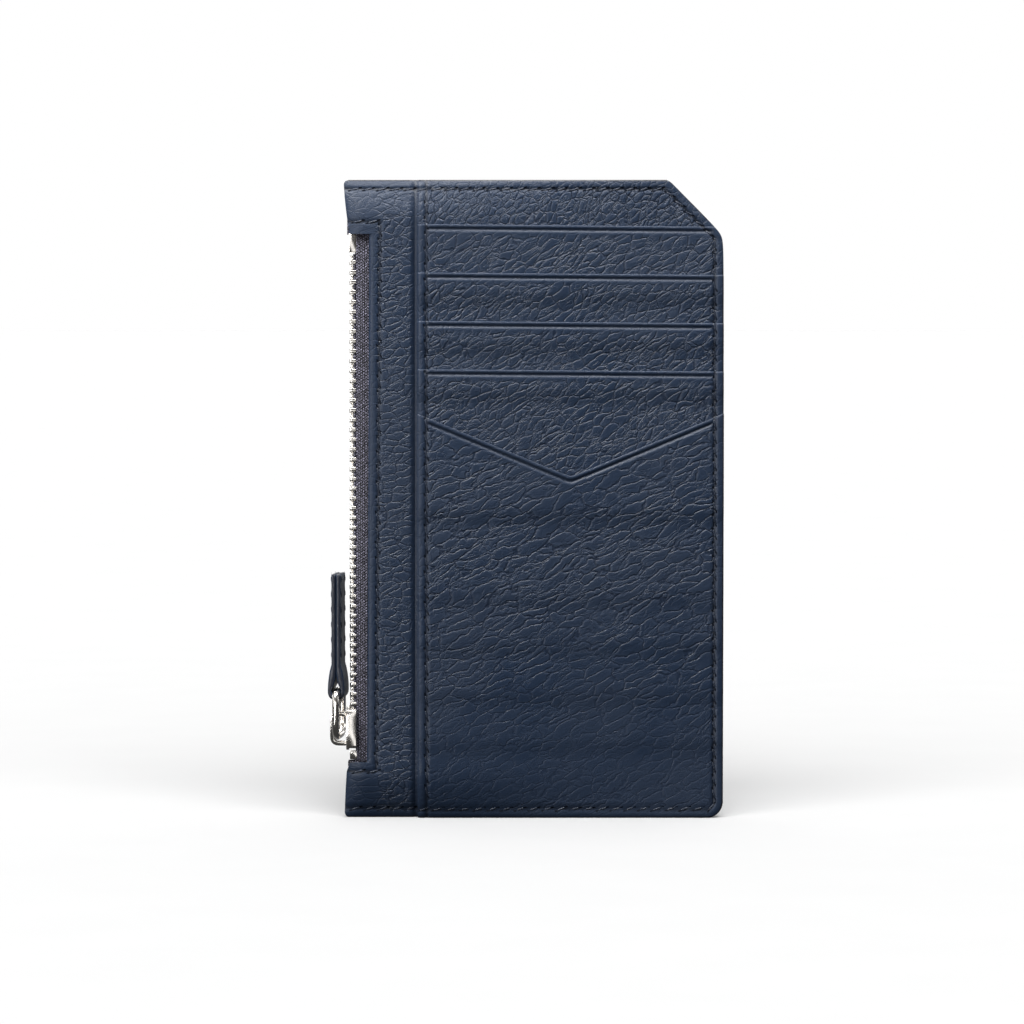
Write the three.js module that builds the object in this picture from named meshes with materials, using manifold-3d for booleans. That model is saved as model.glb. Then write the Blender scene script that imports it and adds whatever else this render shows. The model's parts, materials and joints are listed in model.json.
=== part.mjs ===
// A slim leather card holder with four card slots, a V-edged front pocket
// and a zipped pocket whose metal chain runs down the left edge.
// Millimetres, +Z up. It stands on its bottom edge and its card side looks along -Y.
// The chain is folded over the left edge, so its teeth mesh in a plane at right angles to X.

import * as THREE from 'three';
import { mergeVertices } from 'three/addons/utils/BufferGeometryUtils.js';
import Module from 'manifold-3d';

const wasm = await Module();
wasm.setup();

// ---- driving dimensions ----

const HEIGHT = 130;
const HALF_WIDTH = 38.75;
const LEFT_EDGE = -38.5;
const CORNER_CUT = 11.2;
const CORNER_ROUND = 3.3;
const CUT_ROUND = 1.2;
const SMALL_ROUND = 1;

// Thickness of each layer, and the air left between two layers that are sewn together.
const LEATHER = 1.0;
const POCKET_LEATHER = 0.9;
const SLOT_LEATHER = 0.6;
const BASE_LEATHER = 0.5;
const TAIL_FABRIC = 0.2;
const LINING = 0.2;
const LINING_INSET = 0.5;
const LAYER_GAP = 0.05;

// The two panels meet along the sewn edges and part towards the zip.
const SEAM_HALF_GAP = 0.3;
const BULGE = 2.25;
const BULGE_FULL_X = -29;
const BOTTOM_RAMP = 10.5;
const TOP_RAMP = 8.5;
const BULGE_FALL_POWER = 1.5;

// The window that the zip shows through, cut into the left edge of both panels.
const WINDOW_RIGHT = -32.9;
const WINDOW_BOTTOM = 11.4;
const WINDOW_TOP = 119;
const WINDOW_ROUND = 0.6;
const EDGE_TAPER = 1.2;
const EDGE_TAPER_HEIGHT = 7.2;

// The card side, sewn on top of the front panel.
const CARD_LEFT = -23.5;
const SLOT_COUNT = 4;
const SLOT_TOP = 121;
const SLOT_PITCH = 9.8;
const SLOT_DROOP = 0.5;
const STRIP_HEIGHT = 14;
const LAST_STRIP_BOTTOM = 63;
const STRIP_TAPER = 3;
const TAIL_BOTTOM = 46;
const TAIL_STEP = 10;
const TAIL_INSET = 0.4;
const V_EDGE_Z = 82.7;
const V_APEX_X = 7.6;
const V_APEX_Z = 69.8;
const V_APEX_HALF_ROUND = 1.6;

// The zip chain.
const TEETH_LEFT = -37.4;
const TEETH_RIGHT = -35.9;
const CHAIN_HALF = 2;
const CORD_WIDTH = 0.45;
const TOOTH_PITCH = 2;
const TOOTH_ROOT_HALF = 0.46;
const TOOTH_HEAD_HALF = 0.36;
const TOOTH_PAST_CENTRE = 0.35;
const FIRST_TOOTH = 0.6;
const TEETH_BOTTOM = 20.6;
const TEETH_COUNT = 47;
const CORD_TOP = 115;
const TAPE_THICKNESS = 0.45;
const TAPE_LEFT = -36.9;
const TAPE_RIGHT = -29;
const TAPE_BOTTOM = 10.6;
const TAPE_TOP = 121.3;
const STOP_BOTTOM = 115.3;
const STOP_TOP = 119.2;
const STOP_SLIT = 0.5;
const END_STOP_BOTTOM = 11.9;
const END_STOP_TOP = 13.5;

// The slider, its bridge, the ring and the leather puller.
const SLIDER_BOTTOM = 14;
const SLIDER_TOP = 22.7;
const SLIDER_NARROW = 3.15;
const SLIDER_WIDE = 3.9;
const SLIDER_SHOULDER_Z = 17.4;
const SLIDER_NECK_Z = 20.7;
const NOSE_HALF = 0.6;
const NOSE_NOTCH = 1.1;
const PLATE_ROUND = 0.8;
const PLATE = 0.6;
const PLATE_CLEARANCE = 0.1;
const INNER_PLATE_HALF = 1.9;
const FLANGE = 0.5;
const FLANGE_DEPTH = 1.5;
const WEDGE_HALF = 0.7;
const WEDGE_BOTTOM = 15.1;
const WEDGE_WIDEST = 16.2;
const WEDGE_TOP = 19.4;
const BRIDGE_LEFT = -41.5;
const BRIDGE_BOTTOM = 14.6;
const BRIDGE_TOP = 21.6;
const BRIDGE_BAR = 1;
const BRIDGE_WIDTH = 1.7;
const BRIDGE_ROUND = 1.9;
const BRIDGE_INNER_ROUND = 0.8;
const RING_X = -39.65;
const RING_TURN = THREE.MathUtils.degToRad(-5);
const RING_BOTTOM = 16;
const RING_TOP = 26.7;
const RING_HALF_WIDTH = 6.3;
const RING_WIRE = 0.72;
const RING_SQUARENESS = 5;
const PULLER_WIDTH = 8;
const PULLER_HALF = 0.8;
const PULLER_EYE_HALF = 1.5;
const PULLER_BOTTOM = 24.2;
const PULLER_TOP = 49.8;
const PULLER_EYE_Z = 26;
const PULLER_NECK_Z = 31.5;
const EYE_HOLE = 0.98;
const EYE_APEX_Z = 28.2;
const EYE_SHOULDER_Z = PULLER_EYE_Z + 3;
const EYE_HOLE_SIDE_Z = PULLER_EYE_Z + 0.3;

// The bridge stands out on the left, so the holder is set over by this much
// to put the middle of its overall width at the origin.
const CENTRE_SHIFT = 1.3;

// Where the layers bend, besides at their own edges: across the holder and up its height.
const BULGE_FALL_LINES = [-12, 0, 12, 25];
const BOTTOM_RAMP_LINES = [3, 6.5];
const TOP_RAMP_LINES = [124.5, 127.5];
const FRONT_BODY_LINES = [70, 116];
const BACK_BODY_LINES = [43, 87];

// Cutting outlines reach this far in front of and behind the holder.
const CUT_REACH = 20;

// ---- materials ----

const finish = (color, roughness, metalness) =>
  new THREE.MeshStandardMaterial({ color, roughness, metalness });
const navyLeather = () => finish(0x2b3a54, 0.62, 0);
const darkFabric = () => finish(0x20222c, 0.9, 0);
const zipTape = () => finish(0x3c3a48, 0.85, 0);
const nickel = () => finish(0xc9c6c2, 0.25, 1);

// ---- solids ----

// A closed geometry becomes a solid that can be joined or cut.
function solid(geometry) {
  const bare = geometry.clone();
  bare.deleteAttribute('normal');
  bare.deleteAttribute('uv');
  const merged = mergeVertices(bare, 1e-4);
  const vertProperties = new Float32Array(merged.attributes.position.array);
  const triVerts = new Uint32Array(merged.index.array);
  return new wasm.Manifold(new wasm.Mesh({ numProp: 3, vertProperties, triVerts }));
}

function geometryOf(manifold) {
  const mesh = manifold.getMesh();
  const geometry = new THREE.BufferGeometry();
  geometry.setAttribute('position', new THREE.BufferAttribute(mesh.vertProperties, 3));
  geometry.setIndex(new THREE.BufferAttribute(mesh.triVerts, 1));
  geometry.computeVertexNormals();
  return geometry;
}

// An outline drawn in (x, z), extruded from y0 to y1.
function extrudeY(shape, y0, y1, curveSegments = 6) {
  const geometry = new THREE.ExtrudeGeometry(shape, { depth: y1 - y0, bevelEnabled: false, curveSegments });
  return geometry.rotateX(Math.PI / 2).translate(0, y1, 0);
}

// An outline drawn in (y, z), extruded from x0 to x1.
function extrudeX(shape, x0, x1, curveSegments = 6) {
  const geometry = new THREE.ExtrudeGeometry(shape, { depth: x1 - x0, bevelEnabled: false, curveSegments });
  return geometry.rotateX(Math.PI / 2).rotateZ(Math.PI / 2).translate(x0, 0, 0);
}

function box(x0, x1, y0, y1, z0, z1) {
  const geometry = new THREE.BoxGeometry(x1 - x0, y1 - y0, z1 - z0);
  return geometry.translate((x0 + x1) / 2, (y0 + y1) / 2, (z0 + z1) / 2);
}

function polygon(points) {
  return new THREE.Shape(points.map(([x, y]) => new THREE.Vector2(x, y)));
}

// ---- how far each layer stands from the plane where the two panels meet ----

const easeUp = (t) => Math.sin((Math.PI / 2) * THREE.MathUtils.clamp(t, 0, 1));

// How much the pocket opens at a point: full along the zip, nothing at the three sewn edges.
function bulge(x, z) {
  const ends = Math.min(easeUp(z / BOTTOM_RAMP), easeUp((HEIGHT - z) / TOP_RAMP));
  const across = THREE.MathUtils.clamp((x - BULGE_FULL_X) / (HALF_WIDTH - BULGE_FULL_X), 0, 1);
  return BULGE * ends * ((1 + Math.cos(Math.PI * across)) / 2) ** BULGE_FALL_POWER;
}

const slotTop = (k) => SLOT_TOP - SLOT_PITCH * k;
// The lowest strip also fills the notch of the V pocket below it, so it is taller.
const stripBottom = (k) => (k === SLOT_COUNT - 1 ? LAST_STRIP_BOTTOM : slotTop(k) - STRIP_HEIGHT);
const tailBottom = (k) => TAIL_BOTTOM - TAIL_STEP * k;

// Room that slot k takes at height z: its leather, then its fabric tail, then nothing.
function slotThickness(k, z) {
  const leather = SLOT_LEATHER + LAYER_GAP;
  const tail = TAIL_FABRIC + LAYER_GAP;
  const belowStrip = THREE.MathUtils.clamp((stripBottom(k) - z) / STRIP_TAPER, 0, 1);
  const belowTail = THREE.MathUtils.clamp((tailBottom(k) - z) / STRIP_TAPER, 0, 1);
  return THREE.MathUtils.lerp(leather, tail, belowStrip) - tail * belowTail;
}

const panelOuter = (x, z) => SEAM_HALF_GAP + LEATHER + bulge(x, z);
const baseOuter = (x, z) => panelOuter(x, z) + LAYER_GAP + BASE_LEATHER;

// Outer surface of the card side once slots 0 to k-1 are in place.
function stackOuter(k, x, z) {
  let reach = baseOuter(x, z);
  for (let slot = 0; slot < k; slot += 1) {
    reach += slotThickness(slot, z);
  }
  return reach;
}

// ---- sheets ----

// Grid lines that every front layer shares, so that neighbours bend alike.
const X_LINES = [LEFT_EDGE, WINDOW_RIGHT, BULGE_FULL_X, CARD_LEFT, ...BULGE_FALL_LINES, HALF_WIDTH];
const END_Z_LINES = [0, ...BOTTOM_RAMP_LINES, BOTTOM_RAMP, HEIGHT - TOP_RAMP, ...TOP_RAMP_LINES, HEIGHT];

function frontZLines() {
  const lines = new Set([...END_Z_LINES, ...FRONT_BODY_LINES]);
  for (let k = 0; k < SLOT_COUNT; k += 1) {
    [stripBottom(k), tailBottom(k)].forEach((z) => {
      lines.add(z);
      lines.add(z - STRIP_TAPER);
    });
  }
  return [...lines].sort((a, b) => a - b);
}

const FRONT_Z_LINES = frontZLines();
const BACK_Z_LINES = [...END_Z_LINES, ...BACK_BODY_LINES].sort((a, b) => a - b);

// A bent slab between two distances from the meeting plane. side is -1 in front and 1 behind.
function bentSlab(side, inner, outer, xLines, zLines) {
  const columns = xLines.length - 1;
  const rows = zLines.length - 1;
  const geometry = new THREE.BoxGeometry(1, 1, 1, columns, 1, rows);
  // Both faces fold along the same diagonals, so the slab keeps its thickness.
  const index = geometry.index;
  const lower = geometry.groups[3];
  for (let i = lower.start; i < lower.start + lower.count; i += 6) {
    const [a, b, d] = [index.getX(i), index.getX(i + 1), index.getX(i + 2)];
    const c = index.getX(i + 4);
    [a, b, c, a, c, d].forEach((vertex, n) => index.setX(i + n, vertex));
  }
  const position = geometry.attributes.position;
  for (let i = 0; i < position.count; i += 1) {
    const x = xLines[Math.round((position.getX(i) + 0.5) * columns)];
    const z = zLines[Math.round((position.getZ(i) + 0.5) * rows)];
    const outside = position.getY(i) * side > 0;
    position.setXYZ(i, x, side * (outside ? outer(x, z) : inner(x, z)), z);
  }
  return solid(geometry);
}

// A layer is a bent slab cut to an outline drawn in (x, z).
function layer(outline, side, inner, thickness, zLines = FRONT_Z_LINES) {
  const outer = (x, z) => inner(x, z) + thickness;
  const cutter = solid(extrudeY(outline, -CUT_REACH, CUT_REACH));
  return bentSlab(side, inner, outer, X_LINES, zLines).intersect(cutter);
}

// ---- outlines ----

// Right-hand side shared by every full-height outline, from bottom to top.
function rightSide(shape, right, top) {
  const cut = CORNER_CUT;
  const along = CUT_ROUND * Math.SQRT1_2;
  shape.lineTo(right - CORNER_ROUND, 0);
  shape.absarc(right - CORNER_ROUND, CORNER_ROUND, CORNER_ROUND, -Math.PI / 2, 0, false);
  shape.lineTo(right, top - cut - CUT_ROUND);
  shape.quadraticCurveTo(right, top - cut, right - along, top - cut + along);
  shape.lineTo(right - cut + along, top - along);
  shape.quadraticCurveTo(right - cut, top, right - cut - CUT_ROUND, top);
}

// The whole panel, with the zip window open to the left.
function panelOutline() {
  const left = LEFT_EDGE;
  const shape = new THREE.Shape();
  shape.moveTo(left + SMALL_ROUND, 0);
  rightSide(shape, HALF_WIDTH, HEIGHT);
  shape.lineTo(left + SMALL_ROUND, HEIGHT);
  shape.absarc(left + SMALL_ROUND, HEIGHT - SMALL_ROUND, SMALL_ROUND, Math.PI / 2, Math.PI, false);
  shape.lineTo(left, WINDOW_TOP + EDGE_TAPER_HEIGHT);
  shape.lineTo(left + EDGE_TAPER, WINDOW_TOP);
  shape.lineTo(WINDOW_RIGHT - WINDOW_ROUND, WINDOW_TOP);
  shape.lineTo(WINDOW_RIGHT, WINDOW_TOP - WINDOW_ROUND);
  shape.lineTo(WINDOW_RIGHT, WINDOW_BOTTOM + WINDOW_ROUND);
  shape.lineTo(WINDOW_RIGHT - WINDOW_ROUND, WINDOW_BOTTOM);
  shape.lineTo(left + EDGE_TAPER, WINDOW_BOTTOM);
  shape.lineTo(left, WINDOW_BOTTOM - EDGE_TAPER_HEIGHT);
  shape.lineTo(left, SMALL_ROUND);
  shape.absarc(left + SMALL_ROUND, SMALL_ROUND, SMALL_ROUND, Math.PI, 1.5 * Math.PI, false);
  return shape;
}

// Full height from the given left edge, used for the card side and the linings.
function cardOutline(left, inset = 0) {
  const shape = new THREE.Shape();
  shape.moveTo(left, inset);
  rightSide(shape, HALF_WIDTH - inset, HEIGHT - inset);
  shape.lineTo(left, HEIGHT - inset);
  return shape;
}

// A slot strip: its top edge droops a little to the right.
function stripOutline(k) {
  const top = slotTop(k);
  return polygon([
    [CARD_LEFT, stripBottom(k)],
    [HALF_WIDTH, stripBottom(k)],
    [HALF_WIDTH, top - SLOT_DROOP],
    [CARD_LEFT, top],
  ]);
}

function tailOutline(k) {
  const top = stripBottom(k) - LAYER_GAP;
  return polygon([
    [CARD_LEFT + TAIL_INSET, tailBottom(k)],
    [HALF_WIDTH - TAIL_INSET, tailBottom(k)],
    [HALF_WIDTH - TAIL_INSET, top],
    [CARD_LEFT + TAIL_INSET, top],
  ]);
}

function vPocketOutline() {
  const slope = (V_EDGE_Z - V_APEX_Z) / (V_APEX_X - CARD_LEFT);
  const lift = V_APEX_HALF_ROUND * slope;
  const shape = new THREE.Shape();
  shape.moveTo(CARD_LEFT, 0);
  shape.lineTo(HALF_WIDTH - CORNER_ROUND, 0);
  shape.absarc(HALF_WIDTH - CORNER_ROUND, CORNER_ROUND, CORNER_ROUND, -Math.PI / 2, 0, false);
  shape.lineTo(HALF_WIDTH, V_EDGE_Z);
  shape.lineTo(V_APEX_X + V_APEX_HALF_ROUND, V_APEX_Z + lift);
  shape.quadraticCurveTo(V_APEX_X, V_APEX_Z, V_APEX_X - V_APEX_HALF_ROUND, V_APEX_Z + lift);
  shape.lineTo(CARD_LEFT, V_EDGE_Z);
  return shape;
}

// ---- leather and fabric pieces ----

const frontPanel = () => layer(panelOutline(), -1, (x, z) => SEAM_HALF_GAP + bulge(x, z), LEATHER);

const backPanel = () =>
  layer(panelOutline(), 1, (x, z) => SEAM_HALF_GAP + bulge(x, z), LEATHER, BACK_Z_LINES);

function lining(side, zLines) {
  const inner = (x, z) => SEAM_HALF_GAP - LAYER_GAP - LINING + bulge(x, z);
  return layer(cardOutline(TAPE_RIGHT + LAYER_GAP, LINING_INSET), side, inner, LINING, zLines);
}

const cardBase = () =>
  layer(cardOutline(CARD_LEFT), -1, (x, z) => panelOuter(x, z) + LAYER_GAP, BASE_LEATHER);

function slotStrip(k) {
  const inner = (x, z) => stackOuter(k, x, z) + LAYER_GAP;
  const strip = layer(stripOutline(k), -1, inner, SLOT_LEATHER);
  return strip.intersect(solid(extrudeY(cardOutline(CARD_LEFT), -CUT_REACH, CUT_REACH)));
}

const slotTail = (k) =>
  layer(tailOutline(k), -1, (x, z) => stackOuter(k, x, z) + LAYER_GAP, TAIL_FABRIC);

const vPocket = () =>
  layer(vPocketOutline(), -1, (x, z) => stackOuter(SLOT_COUNT, x, z) + LAYER_GAP, POCKET_LEATHER);

// ---- zip ----

function zipTapeSolid(side) {
  const inner = CHAIN_HALF + LAYER_GAP;
  const [y0, y1] = [side * inner, side * (inner + TAPE_THICKNESS)].sort((a, b) => a - b);
  return solid(box(TAPE_LEFT, TAPE_RIGHT, y0, y1, TAPE_BOTTOM, TAPE_TOP));
}

// One row of teeth on the cord they are clamped to, drawn as a comb in (y, z).
// The row behind is half a pitch higher, so that the two rows mesh.
function teethRow(side) {
  const rise = side > 0 ? TOOTH_PITCH / 2 : 0;
  const outer = side * CHAIN_HALF;
  const root = side * (CHAIN_HALF - CORD_WIDTH);
  const head = -side * TOOTH_PAST_CENTRE;
  const points = [[outer, TEETH_BOTTOM + rise], [root, TEETH_BOTTOM + rise]];
  for (let i = 0; i < TEETH_COUNT; i += 1) {
    const z = TEETH_BOTTOM + rise + FIRST_TOOTH + TOOTH_PITCH * i;
    points.push([root, z - TOOTH_ROOT_HALF]);
    points.push([head, z - TOOTH_HEAD_HALF]);
    points.push([head, z + TOOTH_HEAD_HALF]);
    points.push([root, z + TOOTH_ROOT_HALF]);
  }
  points.push([root, CORD_TOP], [outer, CORD_TOP]);
  return solid(extrudeX(polygon(points), TEETH_LEFT, TEETH_RIGHT));
}

// The clamp that joins both rows at the upper end, with a slit down its middle.
function bottomStop() {
  const half = CHAIN_HALF - LAYER_GAP;
  const proud = 0.1;
  const past = 1;
  const left = TEETH_LEFT - proud;
  const slitHalf = STOP_SLIT / 2;
  const block = solid(box(left, TEETH_RIGHT + proud, -half, half, STOP_BOTTOM, STOP_TOP));
  const slit = box(left - past, left + STOP_SLIT, -slitHalf, slitHalf, STOP_BOTTOM - past, STOP_TOP + past);
  return block.subtract(solid(slit));
}

// A small clamp that ends one row at the lower end, below the closed slider.
function topStop(side) {
  const reach = 1.2;
  const outer = CHAIN_HALF - LAYER_GAP;
  const [y0, y1] = [side * outer, side * (outer - reach)].sort((a, b) => a - b);
  return solid(box(TEETH_LEFT, TEETH_RIGHT, y0, y1, END_STOP_BOTTOM, END_STOP_TOP));
}

// ---- slider ----

// Outline of the slider's outer plate in (y, z): narrow above, wide and two-lobed below.
function sliderOutline(inset = 0) {
  const narrow = SLIDER_NARROW - inset;
  const wide = SLIDER_WIDE - inset;
  const round = PLATE_ROUND;
  return polygon([
    [-wide + round, SLIDER_BOTTOM],
    [-NOSE_HALF, SLIDER_BOTTOM],
    [0, SLIDER_BOTTOM + NOSE_NOTCH],
    [NOSE_HALF, SLIDER_BOTTOM],
    [wide - round, SLIDER_BOTTOM],
    [wide, SLIDER_BOTTOM + round],
    [wide, SLIDER_SHOULDER_Z],
    [narrow, SLIDER_NECK_Z],
    [narrow, SLIDER_TOP - round],
    [narrow - round, SLIDER_TOP],
    [-narrow + round, SLIDER_TOP],
    [-narrow, SLIDER_TOP - round],
    [-narrow, SLIDER_NECK_Z],
    [-wide, SLIDER_SHOULDER_Z],
    [-wide, SLIDER_BOTTOM + round],
  ]);
}

const OUTER_PLATE_RIGHT = TEETH_LEFT - PLATE_CLEARANCE;
const OUTER_PLATE_LEFT = OUTER_PLATE_RIGHT - PLATE;
const INNER_PLATE_LEFT = TEETH_RIGHT + PLATE_CLEARANCE;

// Two plates joined by the wedge that parts the teeth; flanges on the outer plate hold the tapes.
function sliderBody() {
  const overlap = 0.05;
  const past = 1;
  const flangeEnd = OUTER_PLATE_RIGHT + FLANGE_DEPTH;
  const opening = (half, top) =>
    solid(box(OUTER_PLATE_RIGHT, flangeEnd + past, -half, half, SLIDER_BOTTOM - past, top));
  const outerPlate = solid(extrudeX(sliderOutline(), OUTER_PLATE_LEFT, OUTER_PLATE_RIGHT));
  const rim = solid(extrudeX(sliderOutline(), OUTER_PLATE_RIGHT - overlap, flangeEnd));
  const hollow = solid(extrudeX(sliderOutline(FLANGE), OUTER_PLATE_RIGHT, flangeEnd + past));
  const flanges = rim
    .subtract(hollow)
    .subtract(opening(SLIDER_NARROW - FLANGE, SLIDER_TOP + past))
    .subtract(opening(SLIDER_WIDE - FLANGE, SLIDER_SHOULDER_Z));
  const half = INNER_PLATE_HALF;
  const bevel = 0.6;
  const innerOutline = polygon([
    [-half, SLIDER_BOTTOM + bevel],
    [0, SLIDER_BOTTOM],
    [half, SLIDER_BOTTOM + bevel],
    [half, SLIDER_TOP - bevel],
    [half - bevel, SLIDER_TOP],
    [bevel - half, SLIDER_TOP],
    [-half, SLIDER_TOP - bevel],
  ]);
  const wedgeOutline = polygon([
    [0, WEDGE_BOTTOM],
    [WEDGE_HALF, WEDGE_WIDEST],
    [0, WEDGE_TOP],
    [-WEDGE_HALF, WEDGE_WIDEST],
  ]);
  const innerPlate = solid(extrudeX(innerOutline, INNER_PLATE_LEFT, INNER_PLATE_LEFT + PLATE));
  const wedge = solid(extrudeX(wedgeOutline, OUTER_PLATE_RIGHT - overlap, INNER_PLATE_LEFT + overlap));
  return outerPlate.add(flanges).add(wedge).add(innerPlate);
}

// The C-shaped bridge on the outer plate that carries the ring.
function sliderBridge() {
  const right = OUTER_PLATE_LEFT - LAYER_GAP;
  const corner = BRIDGE_ROUND;
  const inner = BRIDGE_INNER_ROUND;
  const shape = new THREE.Shape();
  shape.moveTo(right, BRIDGE_BOTTOM);
  shape.lineTo(right, BRIDGE_BOTTOM + BRIDGE_BAR);
  const inLeft = BRIDGE_LEFT + BRIDGE_BAR;
  const inBottom = BRIDGE_BOTTOM + BRIDGE_BAR;
  const inTop = BRIDGE_TOP - BRIDGE_BAR;
  shape.lineTo(inLeft + inner, inBottom);
  shape.quadraticCurveTo(inLeft, inBottom, inLeft, inBottom + inner);
  shape.lineTo(inLeft, inTop - inner);
  shape.quadraticCurveTo(inLeft, inTop, inLeft + inner, inTop);
  shape.lineTo(right, inTop);
  shape.lineTo(right, BRIDGE_TOP);
  shape.lineTo(BRIDGE_LEFT + corner, BRIDGE_TOP);
  shape.quadraticCurveTo(BRIDGE_LEFT, BRIDGE_TOP, BRIDGE_LEFT, BRIDGE_TOP - corner);
  shape.lineTo(BRIDGE_LEFT, BRIDGE_BOTTOM + corner);
  shape.quadraticCurveTo(BRIDGE_LEFT, BRIDGE_BOTTOM, BRIDGE_LEFT + corner, BRIDGE_BOTTOM);
  return solid(extrudeY(shape, -BRIDGE_WIDTH / 2, BRIDGE_WIDTH / 2, 5));
}

// ---- ring and puller ----

// A link of round wire whose middle line is a rectangle with generously rounded corners.
function ringGeometry() {
  const around = 8;
  const along = 32;
  const squareness = RING_SQUARENESS;
  const middle = (RING_BOTTOM + RING_TOP) / 2;
  const halfTall = (RING_TOP - RING_BOTTOM) / 2 - RING_WIRE;
  const halfWide = RING_HALF_WIDTH - RING_WIRE;
  const power = (value, exponent) => Math.sign(value) * Math.abs(value) ** exponent;
  const geometry = new THREE.TorusGeometry(1, RING_WIRE, around, along);
  const position = geometry.attributes.position;
  // Each vertex is moved from the torus's round middle line to the link's, square to the wire.
  for (let i = 0; i < position.count; i += 1) {
    const [px, py, across] = [position.getX(i), position.getY(i), position.getZ(i)];
    const angle = Math.atan2(py, px);
    const out = Math.hypot(px, py) - 1;
    const y = halfWide * power(Math.cos(angle), 2 / squareness);
    const z = halfTall * power(Math.sin(angle), 2 / squareness);
    const normal = new THREE.Vector2(
      power(y / halfWide, squareness - 1) / halfWide,
      power(z / halfTall, squareness - 1) / halfTall,
    ).normalize();
    position.setXYZ(i, across, y + out * normal.x, middle + z + out * normal.y);
  }
  return geometry;
}

// A strip folded round the ring and sewn to itself: its side profile is drawn in (x, z).
function pullerProfile() {
  const shape = new THREE.Shape();
  const eye = PULLER_EYE_HALF;
  const half = PULLER_HALF;
  shape.moveTo(-half, PULLER_TOP);
  shape.lineTo(-half, PULLER_NECK_Z);
  shape.quadraticCurveTo(-eye, EYE_SHOULDER_Z, -eye, PULLER_EYE_Z);
  shape.quadraticCurveTo(-eye, PULLER_BOTTOM, 0, PULLER_BOTTOM);
  shape.quadraticCurveTo(eye, PULLER_BOTTOM, eye, PULLER_EYE_Z);
  shape.quadraticCurveTo(eye, EYE_SHOULDER_Z, half, PULLER_NECK_Z);
  shape.lineTo(half, PULLER_TOP);
  const hole = new THREE.Path();
  hole.moveTo(0, EYE_APEX_Z);
  hole.lineTo(-EYE_HOLE, EYE_HOLE_SIDE_Z);
  hole.quadraticCurveTo(-EYE_HOLE, PULLER_EYE_Z - EYE_HOLE, 0, PULLER_EYE_Z - EYE_HOLE);
  hole.quadraticCurveTo(EYE_HOLE, PULLER_EYE_Z - EYE_HOLE, EYE_HOLE, EYE_HOLE_SIDE_Z);
  shape.holes.push(hole);
  return shape;
}

// ---- assembly ----

const holder = new THREE.Group();
holder.position.set(CENTRE_SHIFT, 0, 0);

function piece(name, geometry, material, group = holder) {
  const mesh = new THREE.Mesh(geometry, material);
  mesh.name = name;
  group.add(mesh);
}

piece('front_panel', geometryOf(frontPanel()), navyLeather());
piece('back_panel', geometryOf(backPanel()), navyLeather());
piece('front_lining', geometryOf(lining(-1, FRONT_Z_LINES)), darkFabric());
piece('back_lining', geometryOf(lining(1, BACK_Z_LINES)), darkFabric());
piece('card_base', geometryOf(cardBase()), navyLeather());
for (let k = 0; k < SLOT_COUNT; k += 1) {
  piece(`slot_strip_${k + 1}`, geometryOf(slotStrip(k)), navyLeather());
  piece(`slot_lining_${k + 1}`, geometryOf(slotTail(k)), darkFabric());
}
piece('v_pocket', geometryOf(vPocket()), navyLeather());

for (const [place, side] of [['front', -1], ['back', 1]]) {
  piece(`zip_tape_${place}`, geometryOf(zipTapeSolid(side)), zipTape());
  piece(`zip_teeth_${place}`, geometryOf(teethRow(side)), nickel());
  piece(`zip_top_stop_${place}`, geometryOf(topStop(side)), nickel());
}
piece('zip_bottom_stop', geometryOf(bottomStop()), nickel());

piece('slider_body', geometryOf(sliderBody()), nickel());
piece('slider_bridge', geometryOf(sliderBridge()), nickel());

// The ring and the puller hang a little turned about the upright.
const turned = new THREE.Group();
turned.position.set(RING_X, 0, 0);
turned.rotation.z = RING_TURN;
holder.add(turned);
const strap = extrudeY(pullerProfile(), -PULLER_WIDTH / 2, PULLER_WIDTH / 2, 5);
piece('pull_ring', ringGeometry(), nickel(), turned);
piece('puller_strap', strap, navyLeather(), turned);

export default holder;
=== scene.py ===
import json
import math
from functools import partial

import bmesh
import bpy
import numpy as np
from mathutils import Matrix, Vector

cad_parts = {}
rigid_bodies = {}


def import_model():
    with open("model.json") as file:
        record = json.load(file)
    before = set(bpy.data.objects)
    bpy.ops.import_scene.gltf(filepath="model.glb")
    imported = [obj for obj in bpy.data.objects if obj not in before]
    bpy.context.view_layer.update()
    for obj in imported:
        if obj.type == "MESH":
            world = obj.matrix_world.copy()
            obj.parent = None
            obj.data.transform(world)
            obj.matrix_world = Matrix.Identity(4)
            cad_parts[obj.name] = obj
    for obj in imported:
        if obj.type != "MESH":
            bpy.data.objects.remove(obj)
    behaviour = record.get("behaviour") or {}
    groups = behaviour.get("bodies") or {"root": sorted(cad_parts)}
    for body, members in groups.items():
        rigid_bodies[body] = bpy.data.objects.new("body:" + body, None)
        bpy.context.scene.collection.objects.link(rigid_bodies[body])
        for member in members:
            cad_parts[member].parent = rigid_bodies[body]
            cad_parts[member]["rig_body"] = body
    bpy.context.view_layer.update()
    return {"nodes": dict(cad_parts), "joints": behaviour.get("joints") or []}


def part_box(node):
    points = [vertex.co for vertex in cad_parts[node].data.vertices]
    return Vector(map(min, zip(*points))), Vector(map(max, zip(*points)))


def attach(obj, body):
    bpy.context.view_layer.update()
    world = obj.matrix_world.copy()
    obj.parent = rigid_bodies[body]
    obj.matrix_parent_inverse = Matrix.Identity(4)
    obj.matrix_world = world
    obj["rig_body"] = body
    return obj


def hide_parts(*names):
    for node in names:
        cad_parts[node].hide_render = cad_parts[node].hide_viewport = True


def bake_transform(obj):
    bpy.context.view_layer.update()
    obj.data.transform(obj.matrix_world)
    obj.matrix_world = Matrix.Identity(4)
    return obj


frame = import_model()

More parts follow.
